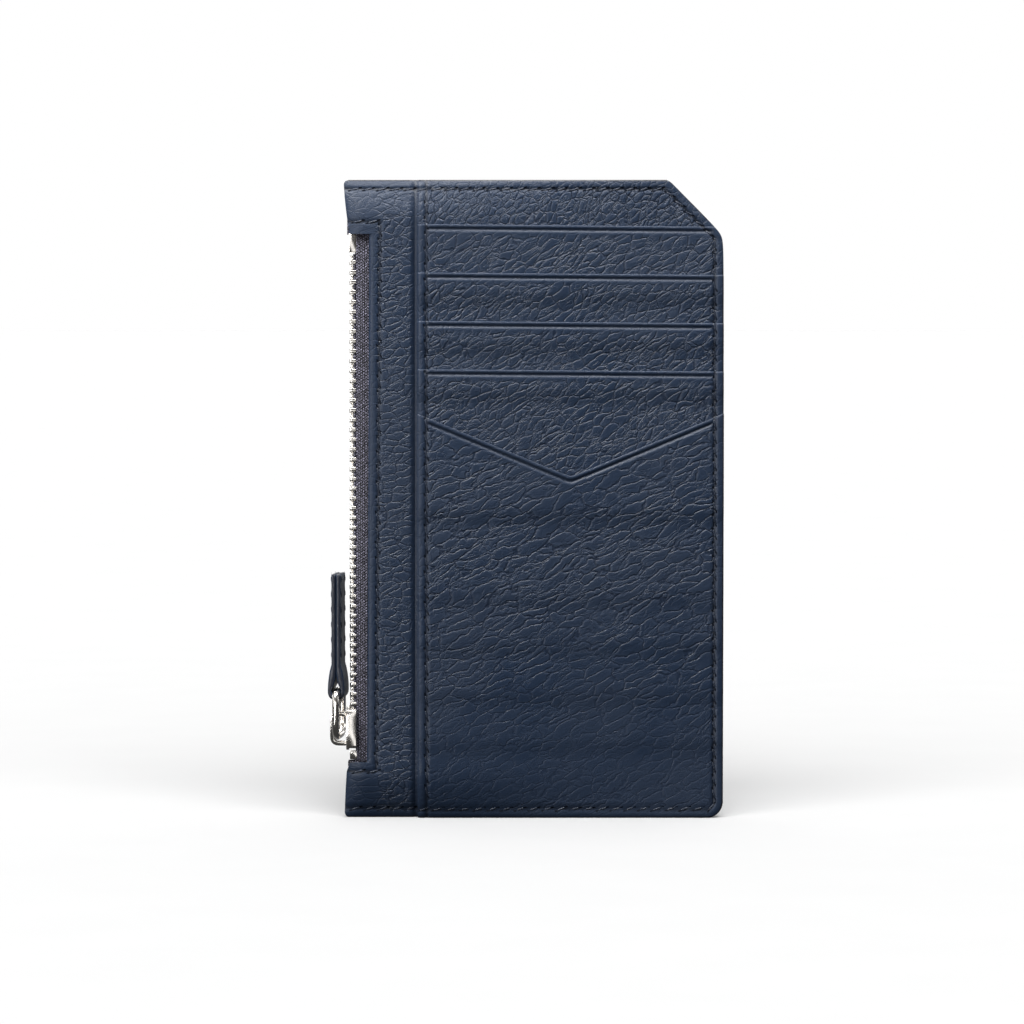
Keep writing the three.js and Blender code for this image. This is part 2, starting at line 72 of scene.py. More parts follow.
# A slim navy leather card holder: stepped card slots and a V-edged pocket on the front, and a
# zipped coin pocket along the left edge. Lengths are millimetres in the CAD's frame, and MM
# turns them into metres where a mesh is made. Offsets are distances from the plane where the
# two panels meet; side is -1 in front of that plane and 1 behind it.

MM = 0.001


def low(node):
    """Lowest corner of a CAD node, in millimetres."""
    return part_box(node)[0] / MM


def high(node):
    """Highest corner of a CAD node, in millimetres."""
    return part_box(node)[1] / MM


# ---- places taken from the frame ----

LEFT = low("front_panel").x
RIGHT = high("front_panel").x
HEIGHT = high("front_panel").z
CARD_LEFT = low("card_base").x
SLOTS = 4
SLOT_TOP = [high(f"slot_strip_{k + 1}").z for k in range(SLOTS)]
SLOT_BOTTOM = [low(f"slot_strip_{k + 1}").z for k in range(SLOTS)]
TAIL_BOTTOM = [low(f"slot_lining_{k + 1}").z for k in range(SLOTS)]
V_TOP = high("v_pocket").z
TEETH_LEFT = low("zip_teeth_front").x
TEETH_RIGHT = high("zip_teeth_front").x
TEETH_BOTTOM = low("zip_teeth_front").z
CORD_TOP = high("zip_teeth_front").z
TAPE_RIGHT = high("zip_tape_front").x

# ---- the leather's driving dimensions ----

SEAM_HALF_GAP = 0.3
LEATHER = 1.0
POCKET_LEATHER = 0.9
SLOT_LEATHER = 0.6
BASE_LEATHER = 0.5
TAIL_FABRIC = 0.2
LINING = 0.2
LAYER_GAP = 0.05
STRIP_TAPER = 3
BULGE = -low("front_panel").y - SEAM_HALF_GAP - LEATHER
BOTTOM_RAMP = 10.5
TOP_RAMP = 8.5
BULGE_FALL_POWER = 1.5

CORNER_CUT = 11.2
CUT_SOFTNESS = 1.3
CORNER_ROUND = 3.3
SMALL_ROUND = 1.0
WINDOW_RIGHT = LEFT + 5.6
WINDOW_BOTTOM = 11.4
WINDOW_TOP = 119.0
EDGE_TAPER = 1.2
LOWER_TAPER = 0.6
ROLL_WIDTH = 4.6
SLOT_DROOP = 0.5
V_APEX_X = (CARD_LEFT + RIGHT) / 2
V_DEPTH = 12.9
V_SLOPE = V_DEPTH / (RIGHT - V_APEX_X)
V_ROUND = 0.6

# ---- seams ----

STITCH_PITCH = 3.1
EDGE_PITCH = 2.8
EDGE_SEAM = 1.9
CARD_SEAM_X = CARD_LEFT + 1.8
WINDOW_SEAM_X = WINDOW_RIGHT + 1.8
WINDOW_SEAM_BOTTOM = WINDOW_BOTTOM - 1.8
WINDOW_SEAM_TOP = WINDOW_TOP + 2.5
CREASE_BELOW_EDGE = 0.95
V_CREASE_BELOW_EDGE = 1.1


# ---- how far each layer stands from the meeting plane ----

def ease_up(t):
    return np.sin(np.pi / 2 * np.clip(t, 0, 1))


def step_up(t):
    """0 below 0, 1 above 1, and smooth between."""
    t = np.clip(t, 0, 1)
    return t * t * (3 - 2 * t)


def ridge(d, width):
    """A smooth bump of height 1, width wide each way."""
    return np.exp(-((d / width) ** 2))


def bulge(x, z):
    ends = np.minimum(ease_up(z / BOTTOM_RAMP), ease_up((HEIGHT - z) / TOP_RAMP))
    across = np.clip((x - TAPE_RIGHT) / (RIGHT - TAPE_RIGHT), 0, 1)
    return BULGE * ends * ((1 + np.cos(np.pi * across)) / 2) ** BULGE_FALL_POWER


def rolled(x):
    """The two corners beside the zip roll in towards the left edge."""
    t = np.clip((LEFT + ROLL_WIDTH - x) / ROLL_WIDTH, 0, 1)
    return np.sqrt(1 - 0.9 * t * t)


def panel_outer(x, z):
    return SEAM_HALF_GAP + LEATHER + bulge(x, z) * rolled(x)


def base_outer(x, z):
    return panel_outer(x, z) + LAYER_GAP + BASE_LEATHER


def slot_thickness(k, z):
    leather = SLOT_LEATHER + LAYER_GAP
    tail = TAIL_FABRIC + LAYER_GAP
    below_strip = np.clip((SLOT_BOTTOM[k] - z) / STRIP_TAPER, 0, 1)
    below_tail = np.clip((TAIL_BOTTOM[k] - z) / STRIP_TAPER, 0, 1)
    return leather + (tail - leather) * below_strip - tail * below_tail


def stack_outer(k, x, z):
    reach = base_outer(x, z)
    for slot in range(k):
        reach = reach + slot_thickness(slot, z)
    return reach


def pocket_outer(x, z):
    return stack_outer(SLOTS, x, z) + LAYER_GAP + POCKET_LEATHER


def tail_outer(k, x, z):
    return stack_outer(k, x, z) + LAYER_GAP + TAIL_FABRIC


def lining_outer(x, z):
    return SEAM_HALF_GAP - LAYER_GAP + bulge(x, z)


# ---- outlines ----

def right_edge(z):
    """Right-hand outline: a round corner below, and the cut corner above."""
    low_corner = np.clip(CORNER_ROUND - z, 0, CORNER_ROUND)
    edge = RIGHT - CORNER_ROUND + np.sqrt(CORNER_ROUND**2 - low_corner**2)
    cut = RIGHT + HEIGHT - CORNER_CUT - z
    gap = edge - cut
    edge = (edge + cut - np.sqrt(gap * gap + CUT_SOFTNESS**2)) / 2
    near_top = np.clip((z - HEIGHT + SMALL_ROUND) / SMALL_ROUND, 0, 1)
    return edge - 0.4 * SMALL_ROUND * (1 - np.sqrt(1 - near_top**2))


def left_edge(z):
    """Left-hand outline of the panels, which narrows towards the zip window."""
    corner = np.clip(SMALL_ROUND - np.minimum(z, HEIGHT - z), 0, SMALL_ROUND)
    inset = SMALL_ROUND - np.sqrt(SMALL_ROUND**2 - corner**2)
    upper = EDGE_TAPER * np.clip((HEIGHT - z) / (HEIGHT - WINDOW_TOP), 0, 1) ** 1.5
    lower = LOWER_TAPER * np.clip(z / WINDOW_BOTTOM, 0, 1) ** 1.5
    lower = lower + (EDGE_TAPER - LOWER_TAPER) * step_up((z - WINDOW_BOTTOM + 2) / 2)
    return LEFT + inset + np.where(z > HEIGHT / 2, upper, lower)


def below_top(z):
    return 1 - z / HEIGHT


def window_edge(z):
    """The window's right edge, which leans a little."""
    return WINDOW_RIGHT - 0.3 - 0.7 * below_top(z)


def window_seam(z):
    return WINDOW_SEAM_X + 0.1 - 1.1 * below_top(z)


def slot_edge(k, x):
    return SLOT_TOP[k] - SLOT_DROOP * (x - CARD_LEFT) / (RIGHT - CARD_LEFT)


def v_edge(x):
    across = np.sqrt((x - V_APEX_X) ** 2 + V_ROUND**2) - V_ROUND * 0.4
    return V_TOP - V_DEPTH + V_SLOPE * across


def edge_distance(x, z):
    """Distance in from the outer outline, apart from its left side."""
    cut = (RIGHT + HEIGHT - CORNER_CUT - x - z) * math.sqrt(0.5)
    straight = np.minimum(np.minimum(RIGHT - x, cut), np.minimum(z, HEIGHT - z))
    dx = np.clip(x - (RIGHT - CORNER_ROUND), 0, None)
    dz = np.clip(CORNER_ROUND - z, 0, None)
    corner = CORNER_ROUND - np.hypot(dx, dz)
    return np.where((dx > 0) & (dz > 0), corner, straight)


# ---- relief: what the seams and creases do to a surface ----

def waves(x, z, seed):
    """Slow unevenness of the leather, between -1 and 1."""
    rng = np.random.default_rng(seed)
    total = 0
    for _ in range(7):
        angle = rng.uniform(0, 2 * np.pi)
        length = rng.uniform(9, 26)
        phase = rng.uniform(0, 2 * np.pi)
        total = total + np.sin((x * np.cos(angle) + z * np.sin(angle)) * 2 * np.pi / length + phase)
    return total / 7


def edge_relief(x, z):
    d = edge_distance(x, z)
    return -0.28 * ridge(d - EDGE_SEAM, 0.36) - 0.25 * np.exp(-np.clip(d, 0, None) / 0.35)


def panel_relief(x, z):
    window = -0.22 * ridge(x - window_seam(z), 0.4)
    window = window * step_up((z - WINDOW_SEAM_BOTTOM + 0.6) / 1.2)
    window = window * step_up((WINDOW_SEAM_TOP + 0.6 - z) / 1.2)
    rows = ridge(z - WINDOW_SEAM_BOTTOM, 0.5) + ridge(z - WINDOW_SEAM_TOP, 0.5)
    window = window - 0.16 * rows * step_up((WINDOW_SEAM_X + 0.5 - x) / 1)
    beside_window = (z > WINDOW_BOTTOM) & (z < WINDOW_TOP)
    lip = -0.35 * np.exp(-np.clip(x - window_edge(z), 0, None) / 0.3) * beside_window
    return edge_relief(x, z) + window + lip + 0.06 * waves(x, z, 3)


def front_panel_relief(x, z):
    groove = -0.4 * ridge(x - (CARD_LEFT - 0.55), 0.5)
    return panel_relief(x, z) + groove


def card_relief(x, z, edge, crease, seed):
    """A card-side layer: its top edge is turned and creased between the two seams."""
    below = edge - z
    between = step_up((x - CARD_SEAM_X - 0.1) / 0.5) * step_up((RIGHT - EDGE_SEAM - 0.3 - x) / 0.5)
    groove = -0.28 * ridge(below - crease, 0.34 * crease) * between
    lip = 0.03 * ridge(below - crease - 0.8, 0.4) * between
    seam = -0.3 * ridge(x - CARD_SEAM_X, 0.34)
    margin = -0.35 * np.exp(-np.clip(x - CARD_LEFT, 0, None) / 0.3)
    turned = -0.16 * np.exp(-np.clip(below, 0, None) / 0.2)
    return edge_relief(x, z) + groove + lip + seam + margin + turned + 0.05 * waves(x, z, seed)


def grain_level(x, z, below=None):
    """How much of the grain shows: it is pressed flat along seams and turned edges."""
    level = step_up((edge_distance(x, z) - 1.2) / 1.2)
    level = 0.35 + 0.65 * level
    if below is not None:
        level = level * (0.25 + 0.75 * step_up((below - 1.5) / 1.2))
        level = level * (0.35 + 0.65 * step_up((x - CARD_SEAM_X) / 0.8))
    return level


def seam_painted_shade(x, z):
    """Painted shade: a dark line along the edge seam's channel."""
    return ridge(edge_distance(x, z) - EDGE_SEAM, 0.26)


# Painted shade along the window seam and its rows, with the edge seam's.
def panel_painted_shade(x, z):
    upright = ridge(x - window_seam(z), 0.24) * ((z > WINDOW_SEAM_BOTTOM) & (z < WINDOW_SEAM_TOP))
    rows = ridge(z - WINDOW_SEAM_BOTTOM, 0.24) + ridge(z - WINDOW_SEAM_TOP, 0.24)
    rows = rows * (x < window_seam(z))
    # painted shadow on the panel along the foot of the card side's raised edge
    beside_card = 0.6 * ridge(x - CARD_LEFT + 0.45, 0.35)
    return np.clip(seam_painted_shade(x, z) + upright + rows + beside_card, 0, 1)


def back_painted_shade(x, z):
    return panel_painted_shade(x, z) * (x < CARD_LEFT - 1) + seam_painted_shade(x, z) * (x >= CARD_LEFT - 1)


# Painted shade in the card seam's channel and in the crease groove below each turned edge, with the edge
# seam's.
def card_painted_shade(x, z, edge, crease):
    between = (x > CARD_SEAM_X) & (x < RIGHT - EDGE_SEAM)
    groove = 0.5 * ridge(edge - z - crease, 0.3) * between
    seam = ridge(x - CARD_SEAM_X, 0.24)
    return np.clip(seam_painted_shade(x, z) + groove + seam, 0, 1)


# ---- materials ----

class Nodes:
    """A node tree whose nodes are added and linked by name."""

    def __init__(self, tree):
        self.tree = tree
        tree.nodes.clear()

    def feed(self, socket, value):
        if isinstance(value, bpy.types.NodeSocket):
            self.tree.links.new(value, socket)
        else:
            socket.default_value = value

    def add(self, kind, inputs=(), **settings):
        node = self.tree.nodes.new(kind)
        for key, value in settings.items():
            setattr(node, key, value)
        for key, value in dict(inputs).items():
            self.feed(node.inputs[key], value)
        return node

    def math(self, operation, *values, clamp=False):
        inputs = dict(enumerate(values))
        return self.add("ShaderNodeMath", inputs, operation=operation, use_clamp=clamp).outputs[0]

    def times(self, a, b, plus=None):
        """a times b, and plus a third value where there is one."""
        if plus is None:
            return self.math("MULTIPLY", a, b)
        return self.math("MULTIPLY_ADD", a, b, plus)

    def smooth(self, value, low_end, high_end, out_low=0.0, out_high=1.0):
        """A smooth ramp from out_low at low_end to out_high at high_end."""
        inputs = {"Value": value, "From Min": low_end, "From Max": high_end}
        inputs.update({"To Min": out_low, "To Max": out_high})
        node = self.add("ShaderNodeMapRange", inputs, interpolation_type="SMOOTHSTEP")
        return node.outputs["Result"]


class Shader(Nodes):
    """A principled material. place is a point in the object's own metres."""

    def __init__(self, name, **values):
        self.material = bpy.data.materials.new(name)
        self.material.use_nodes = True
        super().__init__(self.material.node_tree)
        self.bsdf = self.add("ShaderNodeBsdfPrincipled")
        self.add("ShaderNodeOutputMaterial", {"Surface": self.bsdf.outputs["BSDF"]})
        self.place = self.add("ShaderNodeTexCoord").outputs["Object"]
        self.set(**values)

    def set(self, **values):
        for key, value in values.items():
            self.feed(self.bsdf.inputs[key.replace("_", " ")], value)

    def vector(self, operation, a, b):
        return self.add("ShaderNodeVectorMath", {0: a, 1: b}, operation=operation).outputs[0]

    def split(self, vector):
        return self.add("ShaderNodeSeparateXYZ", {"Vector": vector}).outputs

    def attribute(self, name):
        return self.add("ShaderNodeAttribute", attribute_name=name).outputs["Fac"]

    def mapped(self, vector, size, turn=(0, 0, 0), shift=(0, 0, 0)):
        """Coordinates in units of size, along axes turned by turn."""
        size = size if isinstance(size, tuple) else (size, size, size)
        inputs = {"Vector": vector, "Location": shift, "Rotation": turn, "Scale": size}
        return self.add("ShaderNodeMapping", inputs, vector_type="TEXTURE").outputs[0]

    def noise(self, vector, scale, detail=2, output="Fac"):
        inputs = {"Vector": vector, "Scale": scale, "Detail": detail, "Roughness": 0.5}
        return self.add("ShaderNodeTexNoise", inputs).outputs[output]

    def clouds(self, size, detail=2, shift=(0, 0, 0)):
        """Noise with features of the given size in metres."""
        return self.noise(self.mapped(self.place, size, shift=shift), 1.0, detail)

    def nudge(self, vector, scale, detail, amount):
        """A displacement to and fro round zero."""
        colour = self.noise(vector, scale, detail, "Color")
        centred = self.vector("SUBTRACT", colour, (0.5, 0.5, 0.5))
        inputs = {0: centred, "Scale": amount}
        return self.add("ShaderNodeVectorMath", inputs, operation="SCALE").outputs[0]

    def cells(self, vector, scale):
        """Distance from the borders of irregular cells."""
        inputs = {"Vector": vector, "Scale": scale, "Randomness": 1.0}
        node = self.add("ShaderNodeTexVoronoi", inputs, feature="DISTANCE_TO_EDGE")
        return node.outputs["Distance"]

    def centred(self, value):
        """How far a value is past the middle between two whole numbers."""
        return self.math("SUBTRACT", self.math("FRACT", value), 0.5)

    def ribs(self, value, pitch):
        """A zigzag from 0 to 0.5 that repeats each pitch."""
        return self.math("ABSOLUTE", self.centred(self.math("DIVIDE", value, pitch)))

    def mix(self, factor, a, b):
        inputs = {"Factor": factor, "A": a, "B": b}
        return self.add("ShaderNodeMix", inputs, data_type="RGBA").outputs["Result"]

    def bump(self, height, distance):
        node = self.add("ShaderNodeBump", {"Strength": 1.0, "Distance": distance, "Height": height})
        self.set(Normal=node.outputs["Normal"])


def rgb(r, g, b):
    return (r, g, b, 1.0)


NAVY = rgb(0.0120, 0.0240, 0.0510)
NAVY_CREASE_SHADE = rgb(0.0075, 0.0150, 0.0340)
NAVY_WORN = rgb(0.0185, 0.0300, 0.0560)
NAVY_RIM_WEAR_AND_HIGHLIGHT = rgb(0.0290, 0.0430, 0.0740)
NAVY_PAINTED_SHADE = rgb(0.0025, 0.0045, 0.0100)
SMALL_CELLS = 2.1
PORES = 5200.0


def leather(name, cell, angle, depth, seed, dome_share=0.5, plane="XZ"):
    """Pebbled leather. cell is the pebbles' (length, width) in mm, angle the rise of their length."""
    s = Shader(name, Specular_IOR_Level=0.36)
    length, width = cell[0] * MM, cell[1] * MM
    size = (length, width, width) if plane == "XZ" else (width, length, width)
    pebbles = s.mapped(s.place, size, (0, -math.radians(angle), 0), (seed, seed, 0))
    wander = s.nudge(s.mapped(s.place, 0.007, shift=(seed, 0, 0)), 1.0, 3, 1.5)
    jitter = s.nudge(s.mapped(s.place, 0.0014, shift=(0, seed, 0)), 1.0, 2, 0.42)
    pebbles = s.vector("ADD", s.vector("ADD", pebbles, wander), jitter)
    edge = s.cells(pebbles, 1.0)
    small = s.cells(pebbles, SMALL_CELLS)
    fading = s.clouds(0.003, shift=(seed, 0, seed))
    line = s.times(s.smooth(edge, 0.0, 0.10, 1.0, 0.0), s.smooth(fading, 0.34, 0.54, 0.45, 1.0))
    small_line = s.smooth(small, 0.0, 0.13, 1.0, 0.0)
    small_line = s.times(small_line, s.smooth(fading, 0.40, 0.62, 1.0, 0.25))
    dome = s.math("POWER", s.math("MINIMUM", edge, 0.4), 0.6)
    strength = s.smooth(s.clouds(0.009), 0.32, 0.66, 0.7, 1.0)
    pores = s.noise(s.place, PORES)
    level = s.attribute("grain")
    height = s.times(small_line, -0.26, s.times(line, -0.5, s.times(dome, dome_share)))
    height = s.times(s.times(height, level), strength)
    s.bump(s.times(pores, 0.09, height), depth * MM)
    cloud = s.clouds(0.02, 3)
    colour = s.mix(s.smooth(cloud, 0.3, 0.7, 0.0, 0.55), NAVY, NAVY_WORN)
    # Lighter pebble rims: partly wear, partly a painted highlight on the raised ridges.
    rim = s.math("SUBTRACT", s.smooth(edge, 0.05, 0.22, 1.0, 0.0), line)
    colour = s.mix(s.math("MULTIPLY", rim, s.times(level, 0.8), clamp=True), colour, NAVY_RIM_WEAR_AND_HIGHLIGHT)
    # Painted shade: the crease lines are darkened where shade falls in them.
    colour = s.mix(s.times(line, s.times(level, 0.7)), colour, NAVY_CREASE_SHADE)
    # Painted shade: the per-vertex dark attribute darkens seam channels, crease grooves and the strip
    # beside the card side's edge.
    colour = s.mix(s.times(s.attribute("dark"), 0.85), colour, NAVY_PAINTED_SHADE)
    s.set(Base_Color=colour, Roughness=s.times(pores, 0.08, s.smooth(cloud, 0.3, 0.7, 0.34, 0.43)))
    return s.material


def edge_paint(name, dark, light):
    """Painted leather edges: thick satin paint with a faint ripple."""
    s = Shader(name)
    ripple = s.noise(s.place, 1400.0, 3)
    s.set(Base_Color=s.mix(ripple, dark, light), Roughness=s.smooth(ripple, 0.3, 0.7, 0.3, 0.48))
    s.bump(ripple, 0.00006)
    return s.material


LOOP_WIDTH = 0.00047
LOOP_HEIGHT = 0.00056


def woven_tape():
    """Zip tape: a knitted band whose loops lie in staggered columns."""
    s = Shader("zip_tape")
    place = s.vector("ADD", s.place, s.nudge(s.place, 900.0, 2, 0.00016))
    parts = s.split(place)
    column = s.math("DIVIDE", parts["X"], LOOP_WIDTH)
    column_number = s.math("FLOOR", column)
    across = s.centred(column)
    lean = s.times(across, s.math("SUBTRACT", s.math("PINGPONG", column_number, 1.0), 0.5))
    row = s.math("ADD", s.math("DIVIDE", parts["Z"], LOOP_HEIGHT), s.times(column_number, 0.5))
    along = s.centred(s.times(lean, 0.9, row))
    loop = s.smooth(s.math("ABSOLUTE", across), 0.5, 0.1)
    loop = s.times(loop, s.smooth(s.math("ABSOLUTE", along), 0.5, 0.12))
    fibre = s.noise(place, 9000.0)
    loop = s.times(fibre, 0.2, loop)
    speck = s.noise(s.mapped(place, 0.0004), 1.0, 1)
    # Lighter loop crowns are a painted highlight and the dark gaps between loops painted shade; the specks
    # vary the brightness at random.
    lit = s.times(loop, s.smooth(speck, 0.4, 0.65, 0.25, 1.5))
    tint = s.mix(s.math("MINIMUM", lit, 1.0), rgb(0.0035, 0.0034, 0.007), rgb(0.23, 0.22, 0.30))
    s.set(Base_Color=tint, Roughness=s.smooth(fibre, 0.3, 0.7, 0.5, 0.7))
    s.bump(loop, 0.00022)
    return s.material


def twill_lining():
    """Pocket lining: a fine dark twill."""
    s = Shader("pocket_lining")
    parts = s.split(s.place)
    rib = s.ribs(s.math("ADD", parts["X"], s.times(parts["Z"], 1.6)), 0.0006)
    height = s.times(s.ribs(parts["Z"], 0.00026), 0.5, rib)
    uneven = s.noise(s.place, 700.0, 3)
    tint = s.mix(s.times(height, uneven), rgb(0.007, 0.008, 0.013), rgb(0.04, 0.044, 0.062))
    s.set(Base_Color=tint, Roughness=s.smooth(uneven, 0.3, 0.7, 0.75, 0.9))
    s.bump(height, 0.00006)
    return s.material


def nickel(name, roughness):
    """Polished nickel with fine scratches and a trace of wear."""
    s = Shader(name, Metallic=1.0)
    brushed = s.clouds((0.0003, 0.0003, 0.004), 3)
    worn = s.noise(s.place, 600.0, 3)
    rough = s.smooth(brushed, 0.3, 0.7, roughness * 0.7, roughness * 1.5)
    s.set(Base_Color=s.mix(worn, rgb(0.70, 0.665, 0.62), rgb(0.86, 0.83, 0.79)), Roughness=rough)
    s.bump(s.times(worn, 0.6, brushed), 0.000008)
    return s.material


def waxed_thread():
    """Twisted waxed thread, close to the leather's colour."""
    s = Shader("thread")
    parts = s.split(s.place)
    ply = s.ribs(s.math("ADD", parts["Z"], s.times(parts["X"], 1.2)), 0.0004)
    fuzz = s.noise(s.place, 4000.0)
    tint = s.mix(s.smooth(ply, 0.0, 0.35), rgb(0.008, 0.012, 0.024), rgb(0.026, 0.036, 0.060))
    s.set(Base_Color=tint, Roughness=s.smooth(fuzz, 0.3, 0.7, 0.32, 0.46))
    s.bump(ply, 0.00008)
    return s.material


def awl_hole():
    """Dark flat slits of painted shade, laid on the leather where the stitches go down into their awl
    holes.
    """
    s = Shader("awl_hole", Specular_IOR_Level=0.1)
    shade_mottle = s.noise(s.place, 3000.0)
    tint = s.mix(shade_mottle, rgb(0.0015, 0.0025, 0.006), rgb(0.004, 0.007, 0.014))
    s.set(Base_Color=tint, Roughness=s.smooth(shade_mottle, 0.3, 0.7, 0.7, 0.9))
    return s.material


LEATHER_SIDE = leather("leather_left_strip", (2.9, 1.5), 12, 0.18, 0.0, 0.45)
LEATHER_BASE = leather("leather_card_base", (2.2, 1.2), 52, 0.28, 0.31, 0.8)
LEATHER_SLOT = leather("leather_slots", (3.1, 1.45), 36, 0.23, 0.57, 0.55)
LEATHER_V = leather("leather_v_pocket", (5.4, 1.9), 26, 0.21, 0.83, 0.35)
LEATHER_BACK = leather("leather_back", (4.4, 1.9), 30, 0.22, 0.12, 0.4)
LEATHER_PULLER = leather("leather_puller", (2.4, 1.3), 10, 0.15, 0.44, plane="YZ")
EDGE_PAINT = edge_paint("edge_paint", rgb(0.007, 0.007, 0.011), rgb(0.018, 0.016, 0.022))
PULLER_PAINT = edge_paint("puller_paint", rgb(0.010, 0.012, 0.020), rgb(0.026, 0.030, 0.044))
TAPE = woven_tape()
TWILL = twill_lining()
NICKEL = nickel("nickel_fittings", 0.14)
NICKEL_TEETH = nickel("nickel_teeth", 0.2)
THREAD = waxed_thread()
HOLE_SHADE = awl_hole()


# ---- meshes ----

def add_mesh(name, vertices, faces, materials, slots=None):
    """A smooth-shaded mesh object. Vertices are in millimetres."""
    mesh = bpy.data.meshes.new(name)
    mesh.from_pydata((np.asarray(vertices) * MM).tolist(), [], [list(map(int, f)) for f in faces])
    for material in materials:
        mesh.materials.append(material)
    if slots is not None:
        mesh.polygons.foreach_set("material_index", np.asarray(slots, np.int32))
    mesh.shade_smooth()
    mesh.update()
    obj = bpy.data.objects.new(name, mesh)
    bpy.context.scene.collection.objects.link(obj)
    return obj


def add_bevel(obj, width, segments=3, angle=40):
    bevel = obj.modifiers.new("rounded_edges", "BEVEL")
    bevel.width = width * MM
    bevel.segments = segments
    bevel.limit_method = "ANGLE"
    bevel.angle_limit = math.radians(angle)
    bevel.harden_normals = True
    return obj


def face_outwards(obj):
    work = bmesh.new()
    work.from_mesh(obj.data)
    bmesh.ops.recalc_face_normals(work, faces=work.faces)
    work.to_mesh(obj.data)
    work.free()


def set_values(obj, name, values):
    attribute = obj.data.attributes.new(name, "FLOAT", "POINT")
    attribute.data.foreach_set("value", np.asarray(values, np.float32))


def finish_piece(obj, node):
    """Rides a piece on its CAD node's body and lets it stand for that node."""
    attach(obj, frame["nodes"][node]["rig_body"])
    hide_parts(node)
    return obj


def graded(start, stop, coarse, fine, places):
    """Grid lines from start to stop, close together near each of the places."""
    lines = [start]
    while lines[-1] < stop:
        near = min((abs(lines[-1] - p) for p in places), default=99)
        share = min(max((near - 1.0) / 2.0, 0), 1)
        lines.append(lines[-1] + fine + (coarse - fine) * share)
    lines = np.array(lines)
    return start + (lines - start) * (stop - start) / (lines[-1] - start)


def even(start, stop, step):
    return graded(start, stop, step, step, [])


def bottom_rows(coarse, fine, places, top):
    """Grid rows from the bottom edge up, with an even run round the bottom corner."""
    arc = CORNER_ROUND * (1 - np.cos(np.linspace(0, np.pi / 2, 9)))
    return np.concatenate([arc[:-1], graded(CORNER_ROUND, top, coarse, fine, places)])


def squeezed(x, z, free_left=None):
    """Moves grid columns so that the outermost ones follow the outline."""
    from_right = np.clip((x - V_APEX_X) / (RIGHT - V_APEX_X), 0, 1)
    moved = x + from_right * (right_edge(z) - RIGHT)
    if free_left is not None:
        from_left = np.clip((free_left - x) / (free_left - LEFT), 0, 1)
        moved = moved + from_left * (left_edge(z) - LEFT)
    return moved


def grid_quads(grid):
    index = np.arange(grid.size).reshape(grid.shape)
    return np.stack([index[:-1, :-1], index[:-1, 1:], index[1:, 1:], index[1:, :-1]], -1)


def rim_of(quads, count):
    """The open edges of a sheet, and the walls from them to its copy count points further on."""
    starts, ends = quads.ravel(), np.roll(quads, -1, 1).ravel()
    is_open = ~np.isin(starts * count + ends, ends * count + starts)
    a, b = starts[is_open], ends[is_open]
    return a, b, np.stack([b, a, a + count, b + count], -1)


def tube_faces(start, rings, sides, closed=False):
    """Quads round a run of rings of points, and a cap on each end of a run that isn't closed."""
    faces = []
    for i in range(rings if closed else rings - 1):
        here, there = start + i * sides, start + (i + 1) % rings * sides
        for j in range(sides):
            k = (j + 1) % sides
            faces.append((here + j, here + k, there + k, there + j))
    if not closed:
        first = tuple(range(start, start + sides))
        faces += [first[::-1], tuple(n + (rings - 1) * sides for n in first)]
    return faces


PAINTED_EDGE = 0.2


def on_outline(x, z):
    return edge_distance(x, z) < 0.3


def closed_sheet(name, x, z, outer, thickness, side, materials, rim=None, keep=None, grain=None, dark=None):
    """A sheet with two faces and a rim. x, z and outer are grids; rim(x, z) says which rim is paint."""
    quads = grid_quads(x)
    quads = quads.reshape(-1, 4) if keep is None else quads[keep]
    if side > 0:
        quads = quads[:, ::-1]
    used = np.unique(quads)
    renumber = np.zeros(x.size, int)
    renumber[used] = np.arange(len(used))
    quads = renumber[quads]
    face = np.stack([x, side * outer, z], -1).reshape(-1, 3)[used]
    back = face - np.array([0, side * thickness, 0])
    a, b, walls = rim_of(quads, len(used))
    faces = np.concatenate([quads, quads[:, ::-1] + len(used), walls])
    slots = np.zeros(len(faces), int)
    if rim is not None:
        centre = face[quads].mean(1)
        painted = edge_distance(centre[:, 0], centre[:, 2]) < PAINTED_EDGE
        middle = (face[a] + face[b]) / 2
        slots = np.concatenate([painted, painted, rim(middle[:, 0], middle[:, 2])])
    obj = add_mesh(name, np.concatenate([face, back]), faces, materials, slots)
    # grain sets how much grain shows; dark is painted shade, kept per vertex.
    for key, values in (("grain", grain), ("dark", dark)):
        if values is not None:
            set_values(obj, key, np.tile(values.ravel()[used], 2))
    return obj


# ---- leather pieces ----

def panel_rim(x, z):
    return on_outline(x, z) | (x < LEFT + 2)


